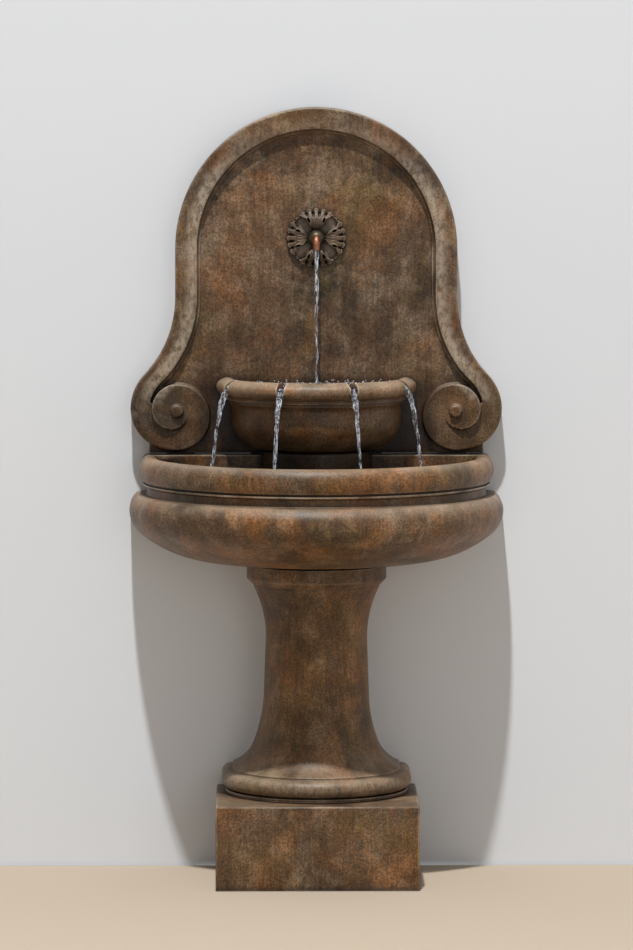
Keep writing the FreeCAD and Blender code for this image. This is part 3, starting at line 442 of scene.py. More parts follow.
# The headboard's wet colour also paints the shade behind the bowl and at its foot
headboardStone = castStone("castStoneHeadboard", shift=(6.4, 1.1, 2.3), rust=0.4, grey=0.5, crease=18.0,
        umberHex="#33281d", brownHex="#674d36", wetHex="#7b6d5c")
bowlStone = castStone("castStoneBowl", shift=(2.6, 4.2, 0.2), rust=0.75, grey=0.25, crease=14.0,
        umberHex="#493724", brownHex="#8a6b4c")
supportStone = castStone("castStoneSupport", shift=(4.6, 0.2, 3.3), rust=0.3, dust=0.1)
rosetteStone = castStone("castStoneRosette", shift=(5.5, 3.2, 1.2), rust=0.2, dust=0.3, rubbedEdge=2.2,
        crease=12.0, grime=0.95, umberHex="#261b14", brownHex="#3f3127", greyHex="#4b4037",
        paleHex="#9a8a79")
print("stone materials made")


# Points along arcs that leave start in the heading's direction and turn smoothly into one another
def arcRun(start, heading, ends, step):
    points = [Vector(start)]
    here = Vector(start)
    forward = Vector(heading).normalized()
    for end in ends:
        chord = Vector(end) - here
        along = chord.normalized()
        lean = math.atan2(forward.x * along.y - forward.y * along.x, forward.dot(along))
        left = Vector((-forward.y, forward.x))
        count = max(2, round(chord.length / step))
        for i in range(1, count + 1):
            turned = 2 * lean * i / count
            if abs(lean) < 1e-4:
                points.append(here + chord * i / count)
                continue
            radius = chord.length / (2 * math.sin(lean))
            points.append(here + forward * radius * math.sin(turned) + left * radius * (1 - math.cos(turned)))
        forward = along * (2 * forward.dot(along)) - forward
        here = Vector(end)
    return points


def spaced(points, step):
    points = [Vector(p) for p in points]
    result = [points[0]]
    for start, end in zip(points, points[1:]):
        count = max(1, round((end - start).length / step))
        result += [start + (end - start) * i / count for i in range(1, count + 1)]
    return result


# Rounds every corner of an outline that turns by more than 20 degrees, as a mould leaves it
def softened(points, radius):
    points = [Vector(p) for p in points]
    result = [points[0]]
    for before, corner, after in zip(points, points[1:], points[2:]):
        into = corner - before
        out = after - corner
        if into.length < 1e-9 or out.length < 1e-9 or into.angle(out) < math.radians(20):
            result.append(corner)
            continue
        reach = min(radius, into.length * 0.45, out.length * 0.45)
        first = corner - into.normalized() * reach
        last = corner + out.normalized() * reach
        for t in (0.0, 0.25, 0.5, 0.75, 1.0):
            result.append(first * (1 - t) ** 2 + corner * 2 * t * (1 - t) + last * t ** 2)
    result.append(points[-1])
    return result


straightStep = 9.0  # millimetres between stations on the straight sides


# Closed solid on the half-round plan: a profile of (radius, height) in millimetres, from axis to axis,
# is swept straight forward from backDepth, round the front and straight back
def halfRound(name, profile, values, foot, backDepth=0.0):
    centreDepth, segments = values["centreDepth"], values["segments"]
    straight = max(1, round((centreDepth - backDepth) / straightStep))
    stations = [(1.0, 0.0, backDepth + (centreDepth - backDepth) * i / straight) for i in range(straight)]
    for i in range(segments + 1):
        angle = math.pi * i / segments
        stations.append((math.cos(angle), math.sin(angle), centreDepth))
    stations += [(-1.0, 0.0, depth) for _, _, depth in stations[:straight][::-1]]
    vertices = [(radius * across * mm, wallY - (depth + radius * ahead) * mm, foot + height * mm)
            for across, ahead, depth in stations for radius, height in profile]
    size = len(profile)
    last = (len(stations) - 1) * size
    faces = [(a, a + 1, a + size + 1, a + size) for s in range(0, last, size)
            for a in range(s, s + size - 1)]
    faces.append(tuple(range(size)) + tuple(last + i for i in reversed(range(size))))
    obj = meshObject(name, vertices, faces)
    tidyMesh(obj)
    return obj


# Outline of what a basin or bowl holds, from its floor up over the inner half of the rim
def hollowOutline(values, tall):
    wide, small, straight = values["steps"]
    outline = [(0, values["floor"][1])]
    outline += arcRun(values["wallFoot"], (0, -1), [values["wallBend"], values["floor"]], wide)[::-1]
    outline += arcRun((values["crown"], tall), (-1, 0), [values["lipShoulder"], values["lip"]], small)[::-1]
    outline += [(values["crown"], tall + overcut), (0, tall + overcut)]
    return spaced(outline, straight)


# Closed bar between two rings of points that run the same way round
def prism(name, near, far):
    size = len(near)
    faces = [(i, (i + 1) % size, size + (i + 1) % size, size + i) for i in range(size)]
    faces += [tuple(reversed(range(size))), tuple(range(size, 2 * size))]
    obj = meshObject(name, near + far, faces)
    tidyMesh(obj)
    return obj


def roundBar(name, radius, depth, low, high, segments=64):
    turns = [2 * math.pi * i / segments for i in range(segments)]
    rings = [[(radius * mm * math.cos(a), wallY - depth * mm + radius * mm * math.sin(a), z)
            for a in turns] for z in (low, high)]
    return prism(name, *rings)


# Bar from side to side, from an outline of (depth from the wall, height) in millimetres
def crossBar(name, outline, half):
    rings = [[(x * mm, wallY - depth * mm, z * mm) for depth, z in outline] for x in (-half, half)]
    return prism(name, *rings)


overcut = 30.0  # millimetres that a cutting body stands out of what it cuts
unevenness = {"waveRate": 9.0, "toothRate": 75.0, "seedStep": (7.3, 3.1, 5.7), "back": 0.002}


# Hand-finished unevenness: soft waves and a fine tooling, pressed inwards only; rates are per metre,
# and what lies against the wall stays flat
def weather(obj, wave, tooth, seed):
    obj.data.update()
    shift = seed * Vector(unevenness["seedStep"])
    normals = [v.normal.copy() for v in obj.data.vertices]
    for vertex, normal in zip(obj.data.vertices, normals):
        if vertex.co.y > wallY - unevenness["back"]:
            continue
        soft = noise.noise(vertex.co * unevenness["waveRate"] + shift) * 0.5 + 0.5
        fine = noise.noise(vertex.co * unevenness["toothRate"] + shift) * 0.5 + 0.5
        vertex.co -= normal * (soft * wave + fine * tooth) * mm


# Stores a share from 0 to 1 at each point, which the stone reads as rubbed pale, in places painted light, and
# as wet darkening, in places painted shade
def markShare(obj, name, rule):
    layer = obj.data.attributes.new(name, "FLOAT", "POINT")
    for vertex, entry in zip(obj.data.vertices, layer.data):
        entry.value = rule(vertex.co)


def finishStone(obj, material, body, *nodes, sharp=50, wave=0.5, tooth=0.25, seed=1):
    weather(obj, wave, tooth, seed)
    obj.data.shade_smooth()
    obj.data.set_sharp_from_angle(angle=math.radians(sharp))
    setMaterial(obj, material)
    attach(obj, body)
    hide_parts(*nodes)
    print(obj.name, len(obj.data.polygons), "faces")


# Pedestal: radii and heights in millimetres above its foot
pedestal = {
    "centreDepth": 109.0,
    "footDisc": (194.0, 9.0),
    "footRing": (202.0, 38.0),
    "flare": (178.0, 5.0),
    "joints": ((133.0, 96.0), (112.0, 203.0), (108.0, 323.0)),
    "flareAngle": 19.0,
    "neck": (134.0, 5.0),
    "collar": (148.5, 42.0, 12.0),
    "core": 78.0,
    # The ring's paleness is partly wear and partly painted light
    "rubbedAndLitRing": (0.35, 1.3, 0.6),  # how pale, and how far from its middle it starts and is full
    "edge": 2.5,
    "segments": 96,
    "steps": (7, 3, 9),  # along wide arcs, along small ones and along straights
}


def buildPedestal():
    values = pedestal
    low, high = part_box("pedestal")
    tall = (high.z - low.z) / mm
    discRadius, ringFoot = values["footDisc"]
    ringRadius, ringHeight = values["footRing"]
    flareRadius, flareRise = values["flare"]
    neckRadius, neckDrop = values["neck"]
    collarRadius, collarHeight, collarEdge = values["collar"]
    wide, small, straight = values["steps"]
    ringTop, collarFoot = ringFoot + ringHeight, tall - collarHeight
    half = ringHeight / 2
    flat = ringRadius - half
    angle = math.radians(values["flareAngle"])
    outline = [(0, 0), (discRadius, 0), (discRadius, ringFoot)]
    outline += arcRun((flat, ringFoot), (1, 0), [(ringRadius, ringFoot + half), (flat, ringTop)], small)
    outline.append((flareRadius, ringTop))
    outline += arcRun((flareRadius, ringTop + flareRise), (-math.cos(angle), math.sin(angle)),
            [*values["joints"], (neckRadius, collarFoot - neckDrop)], wide)
    outline += [(neckRadius, collarFoot), (collarRadius - collarEdge, collarFoot),
            (collarRadius, collarFoot + collarEdge), (collarRadius, tall), (0, tall)]
    outline = spaced(softened(outline, values["edge"]), straight)
    obj = halfRound("pedestalCasting", outline, values, low.z)
    cut(obj, roundBar("core", values["core"], values["centreDepth"], low.z - overcut * mm,
            high.z + overcut * mm))
    # The ring is made pale, partly as wear and partly as painted light on its lit front
    ringZ = low.z + (ringFoot + half) * mm
    pale, start, full = values["rubbedAndLitRing"]
    markShare(obj, "rubbed", lambda p: pale * smoothStep(start, full, abs(p.z - ringZ) / (half * mm)))
    finishStone(obj, pedestalStone, "fountain", "pedestal", seed=2)


# Lower basin: radii and heights in millimetres above its foot
basin = {
    "centreDepth": 72.0,
    "seat": 152.0,
    "under": ((376.0, 65.0), (242.0, 8.0)),
    "belly": (398.0, 112.0),
    "shoulder": (381.0, 145.0),
    "groove": ((361.0, 148.0), (361.0, 163.0), (369.0, 166.0), (369.0, 171.0), (364.0, 171.0),
               (364.0, 175.0)),
    "rimFoot": (371.0, 175.0),
    "rimBulge": (377.0, 194.0),
    "rimShoulder": (371.0, 218.0),
    "crown": 354.5,
    "lipShoulder": (338.0, 218.0),
    "lip": (332.0, 208.0),
    "wallFoot": (332.0, 136.0),
    "wallBend": (300.0, 76.0),
    "floor": (250.0, 54.0),
    "backWall": 58.0,
    "drain": (13.0, 136.0),  # radius and depth from the wall
    "wet": (4.0, 50.0, 12.0),  # how far over the lip, from what height, and how far under the rim it is full
    "edge": 1.6,
    "segments": 150,
    "steps": (7, 4, 9),
    "shoulderStep": 5,
}


def buildBasin():
    values = basin
    low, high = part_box("lower_basin")
    tall = (high.z - low.z) / mm
    wide, small, straight = values["steps"]
    rimEnds = [values["rimShoulder"], values["rimBulge"], values["rimFoot"]]
    outline = [(0, 0)]
    outline += arcRun(values["belly"], (0, -1), [*values["under"], (values["seat"], 0)], wide)[::-1]
    outline += arcRun(values["belly"], (0, 1), [values["shoulder"]], values["shoulderStep"])[1:]
    outline += values["groove"]
    outline += arcRun((values["crown"], tall), (1, 0), rimEnds, small)[::-1]
    outline.append((0, tall))
    obj = halfRound("basinCasting", spaced(softened(outline, values["edge"]), straight), values, low.z)
    cut(obj, halfRound("hollow", hollowOutline(values, tall), values, low.z, values["backWall"]))
    drainRadius, drainDepth = values["drain"]
    cut(obj, roundBar("drain", drainRadius, drainDepth, low.z - overcut * mm,
            low.z + (values["floor"][1] + overcut) * mm, 32))
    over, foot, under = values["wet"]
    reach = (values["lip"][0] + over) * mm
    axisY = wallY - values["centreDepth"] * mm

    # Wet inside the basin, darkened past wet stone as painted shade on the shadowed back wall
    def wet(p):
        inside = p.z > low.z + foot * mm and math.hypot(p.x, min(0.0, p.y - axisY)) < reach
        return smoothStep(high.z, high.z - under * mm, p.z) * inside

    markShare(obj, "wet", wet)
    finishStone(obj, basinStone, "fountain", "lower_basin", seed=3)


# Upper bowl: radii and heights in millimetres above its foot
bowl = {
    "centreDepth": 50.0,
    "backDepth": 42.3,
    "foot": 131.0,
    "bodyJoint": (169.0, 25.0),
    "body": (181.0, 62.0),
    "neck": (180.0, 84.0),
    "neckTop": (186.0, 98.0),
    "fillet": (192.0, 104.0),
    "rimFoot": 112.0,
    "rimShoulder": (209.0, 120.0),
    "bulge": (213.0, 131.0),
    "crownShoulder": (207.0, 143.0),
    "crown": 191.0,
    "lipShoulder": (173.0, 143.0),
    "lip": (169.0, 134.0),
    "wallFoot": (169.0, 126.0),
    "wallBend": (140.0, 79.0),
    "floor": (96.0, 52.0),
    "backWall": 68.0,  # its front face, from the wall
    "backDrop": 12.0,
    "notchAngles": (-64.5, -21.5, 21.5, 64.5),
    "notch": (15.0, 27.0, 2.5, 20.0),  # width, depth, flare and how far above the rim the flare is full
    "notchReach": (150.0, 240.0),
    "notchSegments": 12,
    "tubeGroove": (14.0, 105.6, 862.0, 0.626, 42.0),  # half width, depth at a height, lean, depth at its end
    "wet": (0.55, 12.0),  # how wet the body is, and how far up the rim this fades
    "wornRim": (0.2, 20.0),  # how pale the rim is, and how far up it is full
    "edge": 1.4,
    "segments": 110,
    "steps": (6, 3, 8),
}


def notchTool(angle, top):
    width, deep, flare, above = bowl["notch"]
    half = width / 2
    turn = math.radians(angle)
    outward = Vector((math.sin(turn), -math.cos(turn), 0)) * mm
    across = Vector((math.cos(turn), math.sin(turn), 0)) * mm
    centre = Vector((0, wallY - bowl["centreDepth"] * mm, top))
    outline = [(half + flare, above), (half, half - deep)]
    for i in range(1, bowl["notchSegments"]):
        a = math.pi * i / bowl["notchSegments"]
        outline.append((half * math.cos(a), half - deep - half * math.sin(a)))
    outline += [(-half, half - deep), (-half - flare, above)]
    rings = [[centre + outward * radius + across * side + Vector((0, 0, height * mm))
            for side, height in outline] for radius in bowl["notchReach"]]
    return prism("notch", *rings)


# Slanting groove in the back of the bowl, round the supply tube
def tubeGroove(foot):
    half, depth, height, lean, end = bowl["tubeGroove"]
    low = foot / mm - 1
    top = height + (depth - end) / lean
    return crossBar("groove", [(0, low), (depth - lean * (low - height), low), (end, top), (0, top)], half)


def buildBowl():
    values = bowl
    low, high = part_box("upper_bowl")
    tall = (high.z - low.z) / mm
    wide, small, straight = values["steps"]
    down, up = (0, -1), (0, 1)
    filletRadius, filletHeight = values["fillet"]
    outline = [(0, 0)]
    outline += arcRun(values["body"], down, [values["bodyJoint"], (values["foot"], 0)], wide)[::-1]
    outline += arcRun(values["body"], up, [values["neck"]], small)[1:]
    outline += arcRun(values["neck"], up, [values["neckTop"]], small)[1:]
    outline += [(values["neckTop"][0], filletHeight), (filletRadius, filletHeight)]
    rimEnds = [values["rimShoulder"], values["bulge"]]
    outline += arcRun((filletRadius, values["rimFoot"]), (1, 0), rimEnds, small)
    outline += arcRun(values["bulge"], up, [values["crownShoulder"], (values["crown"], tall)], small)[1:]
    outline.append((0, tall))
    obj = halfRound("bowlCasting", spaced(softened(outline, values["edge"]), straight), values, low.z,
            values["backDepth"])
    inside = halfRound("hollow", hollowOutline(values, tall), values, low.z)
    wall, foot, top = values["backWall"], low.z / mm - overcut, high.z / mm - values["backDrop"]
    cut(inside, crossBar("back", [(-overcut, foot), (wall, foot), (wall, top), (-overcut, top)], 300))
    cut(obj, inside)
    for angle in values["notchAngles"]:
        cut(obj, notchTool(angle, high.z))
    cut(obj, tubeGroove(low.z))
    under = low.z + filletHeight * mm
    most, fade = values["wet"]
    pale, rise = values["wornRim"]
    markShare(obj, "wet", lambda p: most * smoothStep(under + fade * mm, under, p.z))
    markShare(obj, "rubbed", lambda p: pale * smoothStep(under, under + rise * mm, p.z))
    finishStone(obj, bowlStone, "bowl", "upper_bowl", wave=0.4, tooth=0.25, seed=4)


buildPedestal()
buildBasin()
buildBowl()
print("turned castings done")


# These two keep the CAD solid's form, remade as an even skin whose edges soften as in a mould
skins = {
    "headboard": {"voxel": 2.0, "smooth": 1, "adapt": 0.35},
    "support": {"voxel": 2.6, "smooth": 2, "adapt": 0.3},
}
headboard = {
    "innerLine": ((0, 1582.5), (253, 1329.5), (253, 1228), (330.6, 1043.8), (353.5, 989.4)),  # x and height
    "lineStep": 6.0,
    "rubbedStrip": (0.0, 5.0, 20.0, 30.0),  # distances outside that line over which it comes and goes
    "rubbedTop": (1.56, 1.44, 0.25),  # heights in metres between which it falls, up the arch, to this share
    "rubbedFoot": (0.99, 1.02),
    "frontDepth": 57.0,
    "dryBack": 12.0,
    "wetStream": (0.25, 0.06, 1.34, 1.15),  # strength, half width, heights where it starts and is full
    # Darker patches, part wet and part painted shade: the panel lower down, the foot, and most strongly the
    # bowl's shadow behind it
    "wetAndShadedPatches": (  # strength, heights where it starts and is full, and the same to the sides
        (0.30, 1.48, 1.10, 0.34, 0.20),
        (0.45, 1.09, 1.02, 2.00, 1.00),
        (1.00, 1.10, 1.02, 0.30, 0.22),
    ),
}


def copyOfNode(name, node):
    obj = newObject(name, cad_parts[node].data.copy())
    tidyMesh(obj, 0.00002)
    return obj


def castSkin(name, node, values):
    obj = copyOfNode(name, node)
    remesh = obj.modifiers.new("remesh", "REMESH")
    remesh.mode = "VOXEL"
    remesh.voxel_size = values["voxel"] * mm
    remesh.adaptivity = values["voxel"] * mm * values["adapt"]
    soften = obj.modifiers.new("soften", "SMOOTH")
    soften.iterations = values["smooth"]
    return applied(obj)


def buildHeadboard():
    obj = castSkin("headboardCasting", "headboard", skins["headboard"])
    start, *ends = headboard["innerLine"]
    line = arcRun(start, (1, 0), ends, headboard["lineStep"])
    begin, full, last, end = headboard["rubbedStrip"]
    high, low, least = headboard["rubbedTop"]
    strength, half, streamTop, streamFull = headboard["wetStream"]

    def rubbed(p):
        if wallY - p.y < headboard["frontDepth"] * mm:
            return 0.0
        place = Vector((abs(p.x), p.z)) / mm
        away = min((place - q).length for q in line)
        strip = smoothStep(begin, full, away) * smoothStep(end, last, away)
        foot = smoothStep(*headboard["rubbedFoot"], p.z)
        return strip * (least + (1 - least) * smoothStep(high, low, p.z)) * foot

    # Wet under the spout's stream; the patches also paint shade behind the bowl
    def wet(p):
        if wallY - p.y < headboard["dryBack"] * mm:
            return 0.0
        shares = [strength * math.exp(-(p.x / half) ** 2) * smoothStep(streamTop, streamFull, p.z)]
        for most, top, foot, outer, inner in headboard["wetAndShadedPatches"]:
            shares.append(most * smoothStep(top, foot, p.z) * smoothStep(outer, inner, abs(p.x)))
        return max(shares)

    markShare(obj, "rubbed", rubbed)
    markShare(obj, "wet", wet)
    finishStone(obj, headboardStone, "fountain", "headboard", sharp=75, seed=6)


def buildSupport():
    obj = castSkin("supportCasting", "bowl_support", skins["support"])
    # Wet all over; the darkening also paints the deep shade under the bowl
    markShare(obj, "wet", lambda p: 1.0)
    finishStone(obj, supportStone, "fountain", "bowl_support", sharp=75, seed=5)


plinth = {"edge": 2.2, "edgeSegments": 3}


def buildPlinth():
    obj = copyOfNode("plinthCasting", "base_plinth")
    work = bmesh.new()
    work.from_mesh(obj.data)
    bmesh.ops.dissolve_limit(work, angle_limit=math.radians(1), verts=work.verts, edges=work.edges)
    work.to_mesh(obj.data)
    work.free()
    bevel = obj.modifiers.new("edge", "BEVEL")
    bevel.width = plinth["edge"] * mm
    bevel.segments = plinth["edgeSegments"]
    bevel.limit_method = "ANGLE"
    bevel.angle_limit = math.radians(45)
    applied(obj)
    finishStone(obj, plinthStone, "fountain", "base_plinth", sharp=40, wave=0, tooth=0)


buildPlinth()
buildHeadboard()
buildSupport()
print("headboard, support and plinth done")


# Radii and heights in millimetres from the spout's axis and the headboard's face; angles in degrees
rosette = {
    "leaves": 4,
    "halfLeaf": 45.0,
    "halfSpan": 37.0,
    "lobes": 5,
    "tip": 64.0,
    "valley": 56.5,
    "heart": (19.0, 12.6),
    "heartDip": (13.0, 17.0, 2.5),  # where it starts and is deepest, and how deep
    "ridge": (35.0, 20.6),
    "outer": 8.0,
    "waist": 30.5,  # half span of a leaf where it is narrow
    "lobeCuts": ((0.5, 9.0, 42.0, 1.3), (1.5, 11.0, 46.0, 1.6)),  # lobes from the middle, depth, start, width
    "cutRun": (12.0, 0.07),  # over what length a cut comes, and how much it widens per millimetre
    "ribs": ((5.0, 1.5), (11.5, 1.3)),  # angle and depth of the fine ribs from the root
    "ribWidth": 0.8,
    "ribReach": (19.0, 25.0, 34.0, 44.0),  # where they come and go
    "eye": (41.5, 22.5, 6.2, 2.4),  # radius, angle, half length and half width
    "eyeDeep": (11.0, 1.15, 0.55),  # depth, and where it starts and is full, in sizes of the eye
    "eyeRim": (1.4, 1.35, 0.4),  # height, place and width
    "side": (-0.2, 2.6),  # millimetres over which a leaf's side rises
    "backSpan": 14.0,  # cupped second row of tips, deep in the gap and lifted at its edge
    "backTip": 61.0,
    "backValley": 56.0,
    "backRise": (51.0, 59.0, 10.0),  # where it starts and is full, and how high
    "bore": 7.8,
    "around": 130,  # points round one leaf
    "rings": 66,
    "rubbed": (0.25, 30.0, 56.0),  # how pale the tips are, and where it starts and is full
}


def leafEdge(angle):
    values = rosette
    step = 2 * values["halfSpan"] / values["lobes"]
    toTip = values["tip"] - values["valley"]
    leaf = values["valley"] + toTip * abs(math.cos(math.pi * angle / step)) ** 0.7
    if abs(angle) > values["halfSpan"]:
        leaf = 0.0
    fromGap = values["halfLeaf"] - abs(angle)
    swing = abs(math.cos(math.pi * fromGap / (2 * values["backSpan"] / 3))) ** 0.7
    back = values["backValley"] + (values["backTip"] - values["backValley"]) * swing
    return max(leaf, back if fromGap < values["backSpan"] else 0.0)


# Up from the heart to a ridge, then down to the tips
def leafCrown(radius):
    heartRadius, heartHeight = rosette["heart"]
    ridgeRadius, ridgeHeight = rosette["ridge"]
    if radius < ridgeRadius:
        return heartHeight + (ridgeHeight - heartHeight) * smoothStep(heartRadius, ridgeRadius, radius) ** 0.6
    fall = (radius - ridgeRadius) / (rosette["tip"] - ridgeRadius)
    return ridgeHeight - (ridgeHeight - rosette["outer"]) * fall ** 1.6


def leafHeight(radius, angle):
    values = rosette
    heartRadius, heartHeight = values["heart"]
    if radius <= heartRadius:
        start, deepest, dip = values["heartDip"]
        return heartHeight - dip * smoothStep(start, deepest, radius) * smoothStep(
            heartRadius + 0.5, deepest, radius)
    away = abs(angle)
    arcLength = math.radians(1) * radius
    body = leafCrown(radius)
    step = 2 * values["halfSpan"] / values["lobes"]
    run, widens = values["cutRun"]
    for lobes, deep, start, wide in values["lobeCuts"]:
        across = (away - lobes * step) * arcLength / (wide + widens * max(0.0, radius - start))
        body -= deep * math.exp(-across ** 2) * smoothStep(start, start + run, radius)
    eyeRadius, eyeAngle, eyeLength, eyeWidth = values["eye"]
    across = (away - eyeAngle) * arcLength / eyeWidth
    along = (radius - eyeRadius) / eyeLength
    almond = math.hypot(across / max(0.15, 1 - 0.6 * along ** 2), along)
    rise, place, wide = values["eyeRim"]
    deep, start, full = values["eyeDeep"]
    body += rise * math.exp(-((almond - place) / wide) ** 2) - deep * smoothStep(start, full, almond)
    comes, full, fades, gone = values["ribReach"]
    for centre, deep in values["ribs"]:
        rib = math.exp(-((away - centre) * arcLength / values["ribWidth"]) ** 2)
        body -= deep * rib * smoothStep(comes, full, radius) * smoothStep(gone, fades, radius)
    share = smoothStep(eyeRadius + 4, values["valley"], radius)
    waist = values["waist"]
    side = min(waist + (values["halfSpan"] - waist) * share,
            waist * (0.55 + 0.45 * smoothStep(heartRadius - 2, 31, radius)) + 90 * share)
    leaf = body * smoothStep(*values["side"], (side - away) * arcLength)
    spread = (values["halfLeaf"] - away) * arcLength
    foot, top, rise = values["backRise"]
    back = 1.0 + rise * smoothStep(foot, top, radius) * (1 - 0.35 * math.exp(-(spread / 1.2) ** 2))
    return max(leaf, back)


# One quarter of the carving, round an axis at the origin
def leafMesh():
    values = rosette
    around, rings = values["around"], values["rings"]
    width = around + 1
    vertices = []
    for ring in range(rings + 1):
        for i in range(width):
            angle = values["halfLeaf"] * (2 * i / around - 1)
            edge = leafEdge(angle)
            radius = values["bore"] + (edge - values["bore"]) * ring / rings
            height = leafHeight(min(radius, edge - 0.1), angle)
            height -= min(height - 0.8, 3.0) * smoothStep(edge - 2.2, edge, radius) ** 2
            a = math.radians(angle)
            vertices.append((radius * mm * math.cos(a), -height * mm, radius * mm * math.sin(a)))
    for ring in (rings, 0):
        vertices += [(x, 0.0, z) for x, _, z in vertices[ring * width:(ring + 1) * width]]
    faces = [(r * width + i, r * width + i + 1, (r + 1) * width + i + 1, (r + 1) * width + i)
            for r in range(rings + 2) for i in range(around)]
    last = (rings + 2) * width
    faces += [(last + i, last + i + 1, i + 1, i) for i in range(around)]
    return meshObject("rosetteCarving", vertices, faces)


# Geometry Nodes tree that takes a geometry, the inputs named and a finish
def newTree(name, **inputs):
    tree = bpy.data.node_groups.new(name, "GeometryNodeTree")
    for title, kind in {"Geometry": "Geometry", **inputs, "Finish": "Material"}.items():
        tree.interface.new_socket(title, in_out="INPUT", socket_type="NodeSocket" + kind)
    tree.interface.new_socket("Geometry", in_out="OUTPUT", socket_type="NodeSocketGeometry")
    add = partial(addNode, tree)
    return tree, add, add("NodeGroupInput").outputs


def endTree(tree, add, given, geometry):
    solid = add("GeometryNodeRealizeInstances", links={"Geometry": geometry})
    coated = add("GeometryNodeSetMaterial", links={"Geometry": solid, "Material": given["Finish"]})
    add("NodeGroupOutput", links={"Geometry": coated})
    return tree


# Runs a tree once with the given inputs and keeps the plain mesh
def grown(obj, tree, **inputs):
    maker = obj.modifiers.new("grow", "NODES")
    maker.node_group = tree
    for item in tree.interface.items_tree:
        if item.in_out == "INPUT" and item.name in inputs:
            maker[item.identifier] = inputs[item.name]
    return applied(obj)


# Turns copies of one leaf round the spout's axis
def ringTree(name):
    tree, add, given = newTree(name, Leaves="Int", Centre="Vector")
    spots = add("GeometryNodeMeshLine", {"Offset": (0, 0, 0)},
            {"Count": given["Leaves"], "Start Location": given["Centre"]})
    index = add("GeometryNodeInputIndex")
    step = add("Math", {0: 2 * math.pi}, {1: given["Leaves"]}, operation="DIVIDE")
    angle = add("Math", links={0: index, 1: step}, operation="MULTIPLY")
    turn = add("CombineXYZ", links={"Y": angle})
    copies = add("GeometryNodeInstanceOnPoints", links={"Points": spots, "Instance": given["Geometry"],
            "Rotation": turn})
    return endTree(tree, add, given, copies)


def buildRosette():
    low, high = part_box("rosette")
    centre = (0.0, high.y, (low.z + high.z) / 2)
    obj = grown(leafMesh(), ringTree("leavesRoundSpout"), Leaves=rosette["leaves"], Centre=centre,
            Finish=rosetteStone)
    tidyMesh(obj)
    most, start, full = rosette["rubbed"]
    markShare(obj, "rubbed", lambda p: most * smoothStep(start, full, math.hypot(p.x, p.z - centre[2]) / mm))
    finishStone(obj, rosetteStone, "fountain", "rosette", sharp=70, wave=0.1, tooth=0.8, seed=7)


buildRosette()
print("rosette done")


# Each fitting keeps its CAD form and gets a finish; the note says what it gives the eye
fittings = {
    "setting_pads": plainFinish("neopreneSettingPad", "#3b3a38", 0.8),  # moulded rubber, dull, a little dusty
    "spout_escutcheon": plainFinish("agedBronze", "#50483a", 0.45, metallic=0.7, cloud=11.0,
                                    vary=0.3),  # dull green-brown skin
    "spout_tube": plainFinish("brightCopper", "#a26d56", 0.5, metallic=1.0, cloud=8.0,
                              vary=0.25),  # drawn tube, wet and shiny
    "spout_washer": plainFinish("nitrileRubber", "#171717", 0.7),  # black and matt
    "spout_locknut": plainFinish("turnedBrass", "#b5924c", 0.35, metallic=1.0),  # machined flats
    "supply_tube": plainFinish("clearVinylTube", "#cfd8d6", 0.2, cloud=25.0, vary=0.06,
                               **{"Transmission Weight": 0.5}),  # soft extruded tube, slightly cloudy
    "hose_clamps": plainFinish("stainlessBand", "#a8a9aa", 0.3, metallic=1.0),  # rolled strip
    "pump_casing": plainFinish("pottedAbs", "#191a1c", 0.4, cloud=5.0),  # moulded shell filled with resin
    "pump_chamber": plainFinish("mouldedAbs", "#1e1f21", 0.5, cloud=5.0),  # plain black shell
    "pump_cover": plainFinish("texturedAbs", "#222325", 0.55, cloud=4.0, depth=0.0004),  # spark-eroded grain
    "flow_dial": plainFinish("greyAcetal", "#66686a", 0.45, cloud=5.0),  # slippery moulded dial
    "impeller": plainFinish("whiteNylon", "#d6d4cc", 0.4, cloud=5.0, vary=0.05),  # milky
    "rotor_magnet": plainFinish("sinteredFerrite", "#2e2e31", 0.6, cloud=3.3),  # dark and grainy
    "rotor_shaft": plainFinish("groundSteel", "#c2c3c4", 0.18, metallic=1.0),  # bright pin
    "shaft_bushes": plainFinish("aluminaCeramic", "#e6e1d6", 0.3, vary=0.04),  # ivory and hard
    "suction_feet": plainFinish("siliconeFeet", "#242424", 0.6),  # soft and dark
    "cord_gland": plainFinish("glandRubber", "#1a1a1a", 0.65),  # squeezed rubber
    "drain_stopper": plainFinish("blackStopperRubber", "#1c1c1d", 0.6, cloud=11.0),  # worn rubber
}
for node, material in fittings.items():
    setMaterial(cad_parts[node], material)
print("fittings finished:", len(fittings))


water = {"bowlLevel": 1.0445, "basinLevel": 0.846, "below": 0.004, "gravity": 9.81}  # metres and seconds
streams = {
    "spoutTop": 1.334,
    "spoutHalf": (4.5, 2.7),  # half width in millimetres where it leaves and where it lands
    "spoutMouth": 7.5,  # behind the tube's end
    "spoutDrift": 4.0,  # forward on the way down
    "spoutSway": (0.8, 9.0),  # how far and how fast it sways
    "spoutPoints": 120,
    "fallHalf": (7.6, 3.2),
    "notchHalf": 5.7,
    "notchPoints": 12,
    "notchRise": 3.0,
    "notchAxis": 7.0,  # above the notch's foot
    "notchEnds": (4.0, 8.0),  # inside the lip and inside the bulge
    "fallPoints": 100,
    "fallSpeed": 0.22,
    "narrowed": 0.09,  # metres fallen when it is narrow
    "ripple": 0.6,  # share of the half width
    "twist": 9.0,  # millimetres across one strand
    "around": 18,
}
streamWater = runningWater("fallingWater", 0.49, 0.68, thread=2.6, drawnOut=9.0)
poolWater = runningWater("poolWater", 0.66, 0.80, thread=9.0)
sprayWater = runningWater("sprayDrops", 0.40, 0.50, thread=2.0)


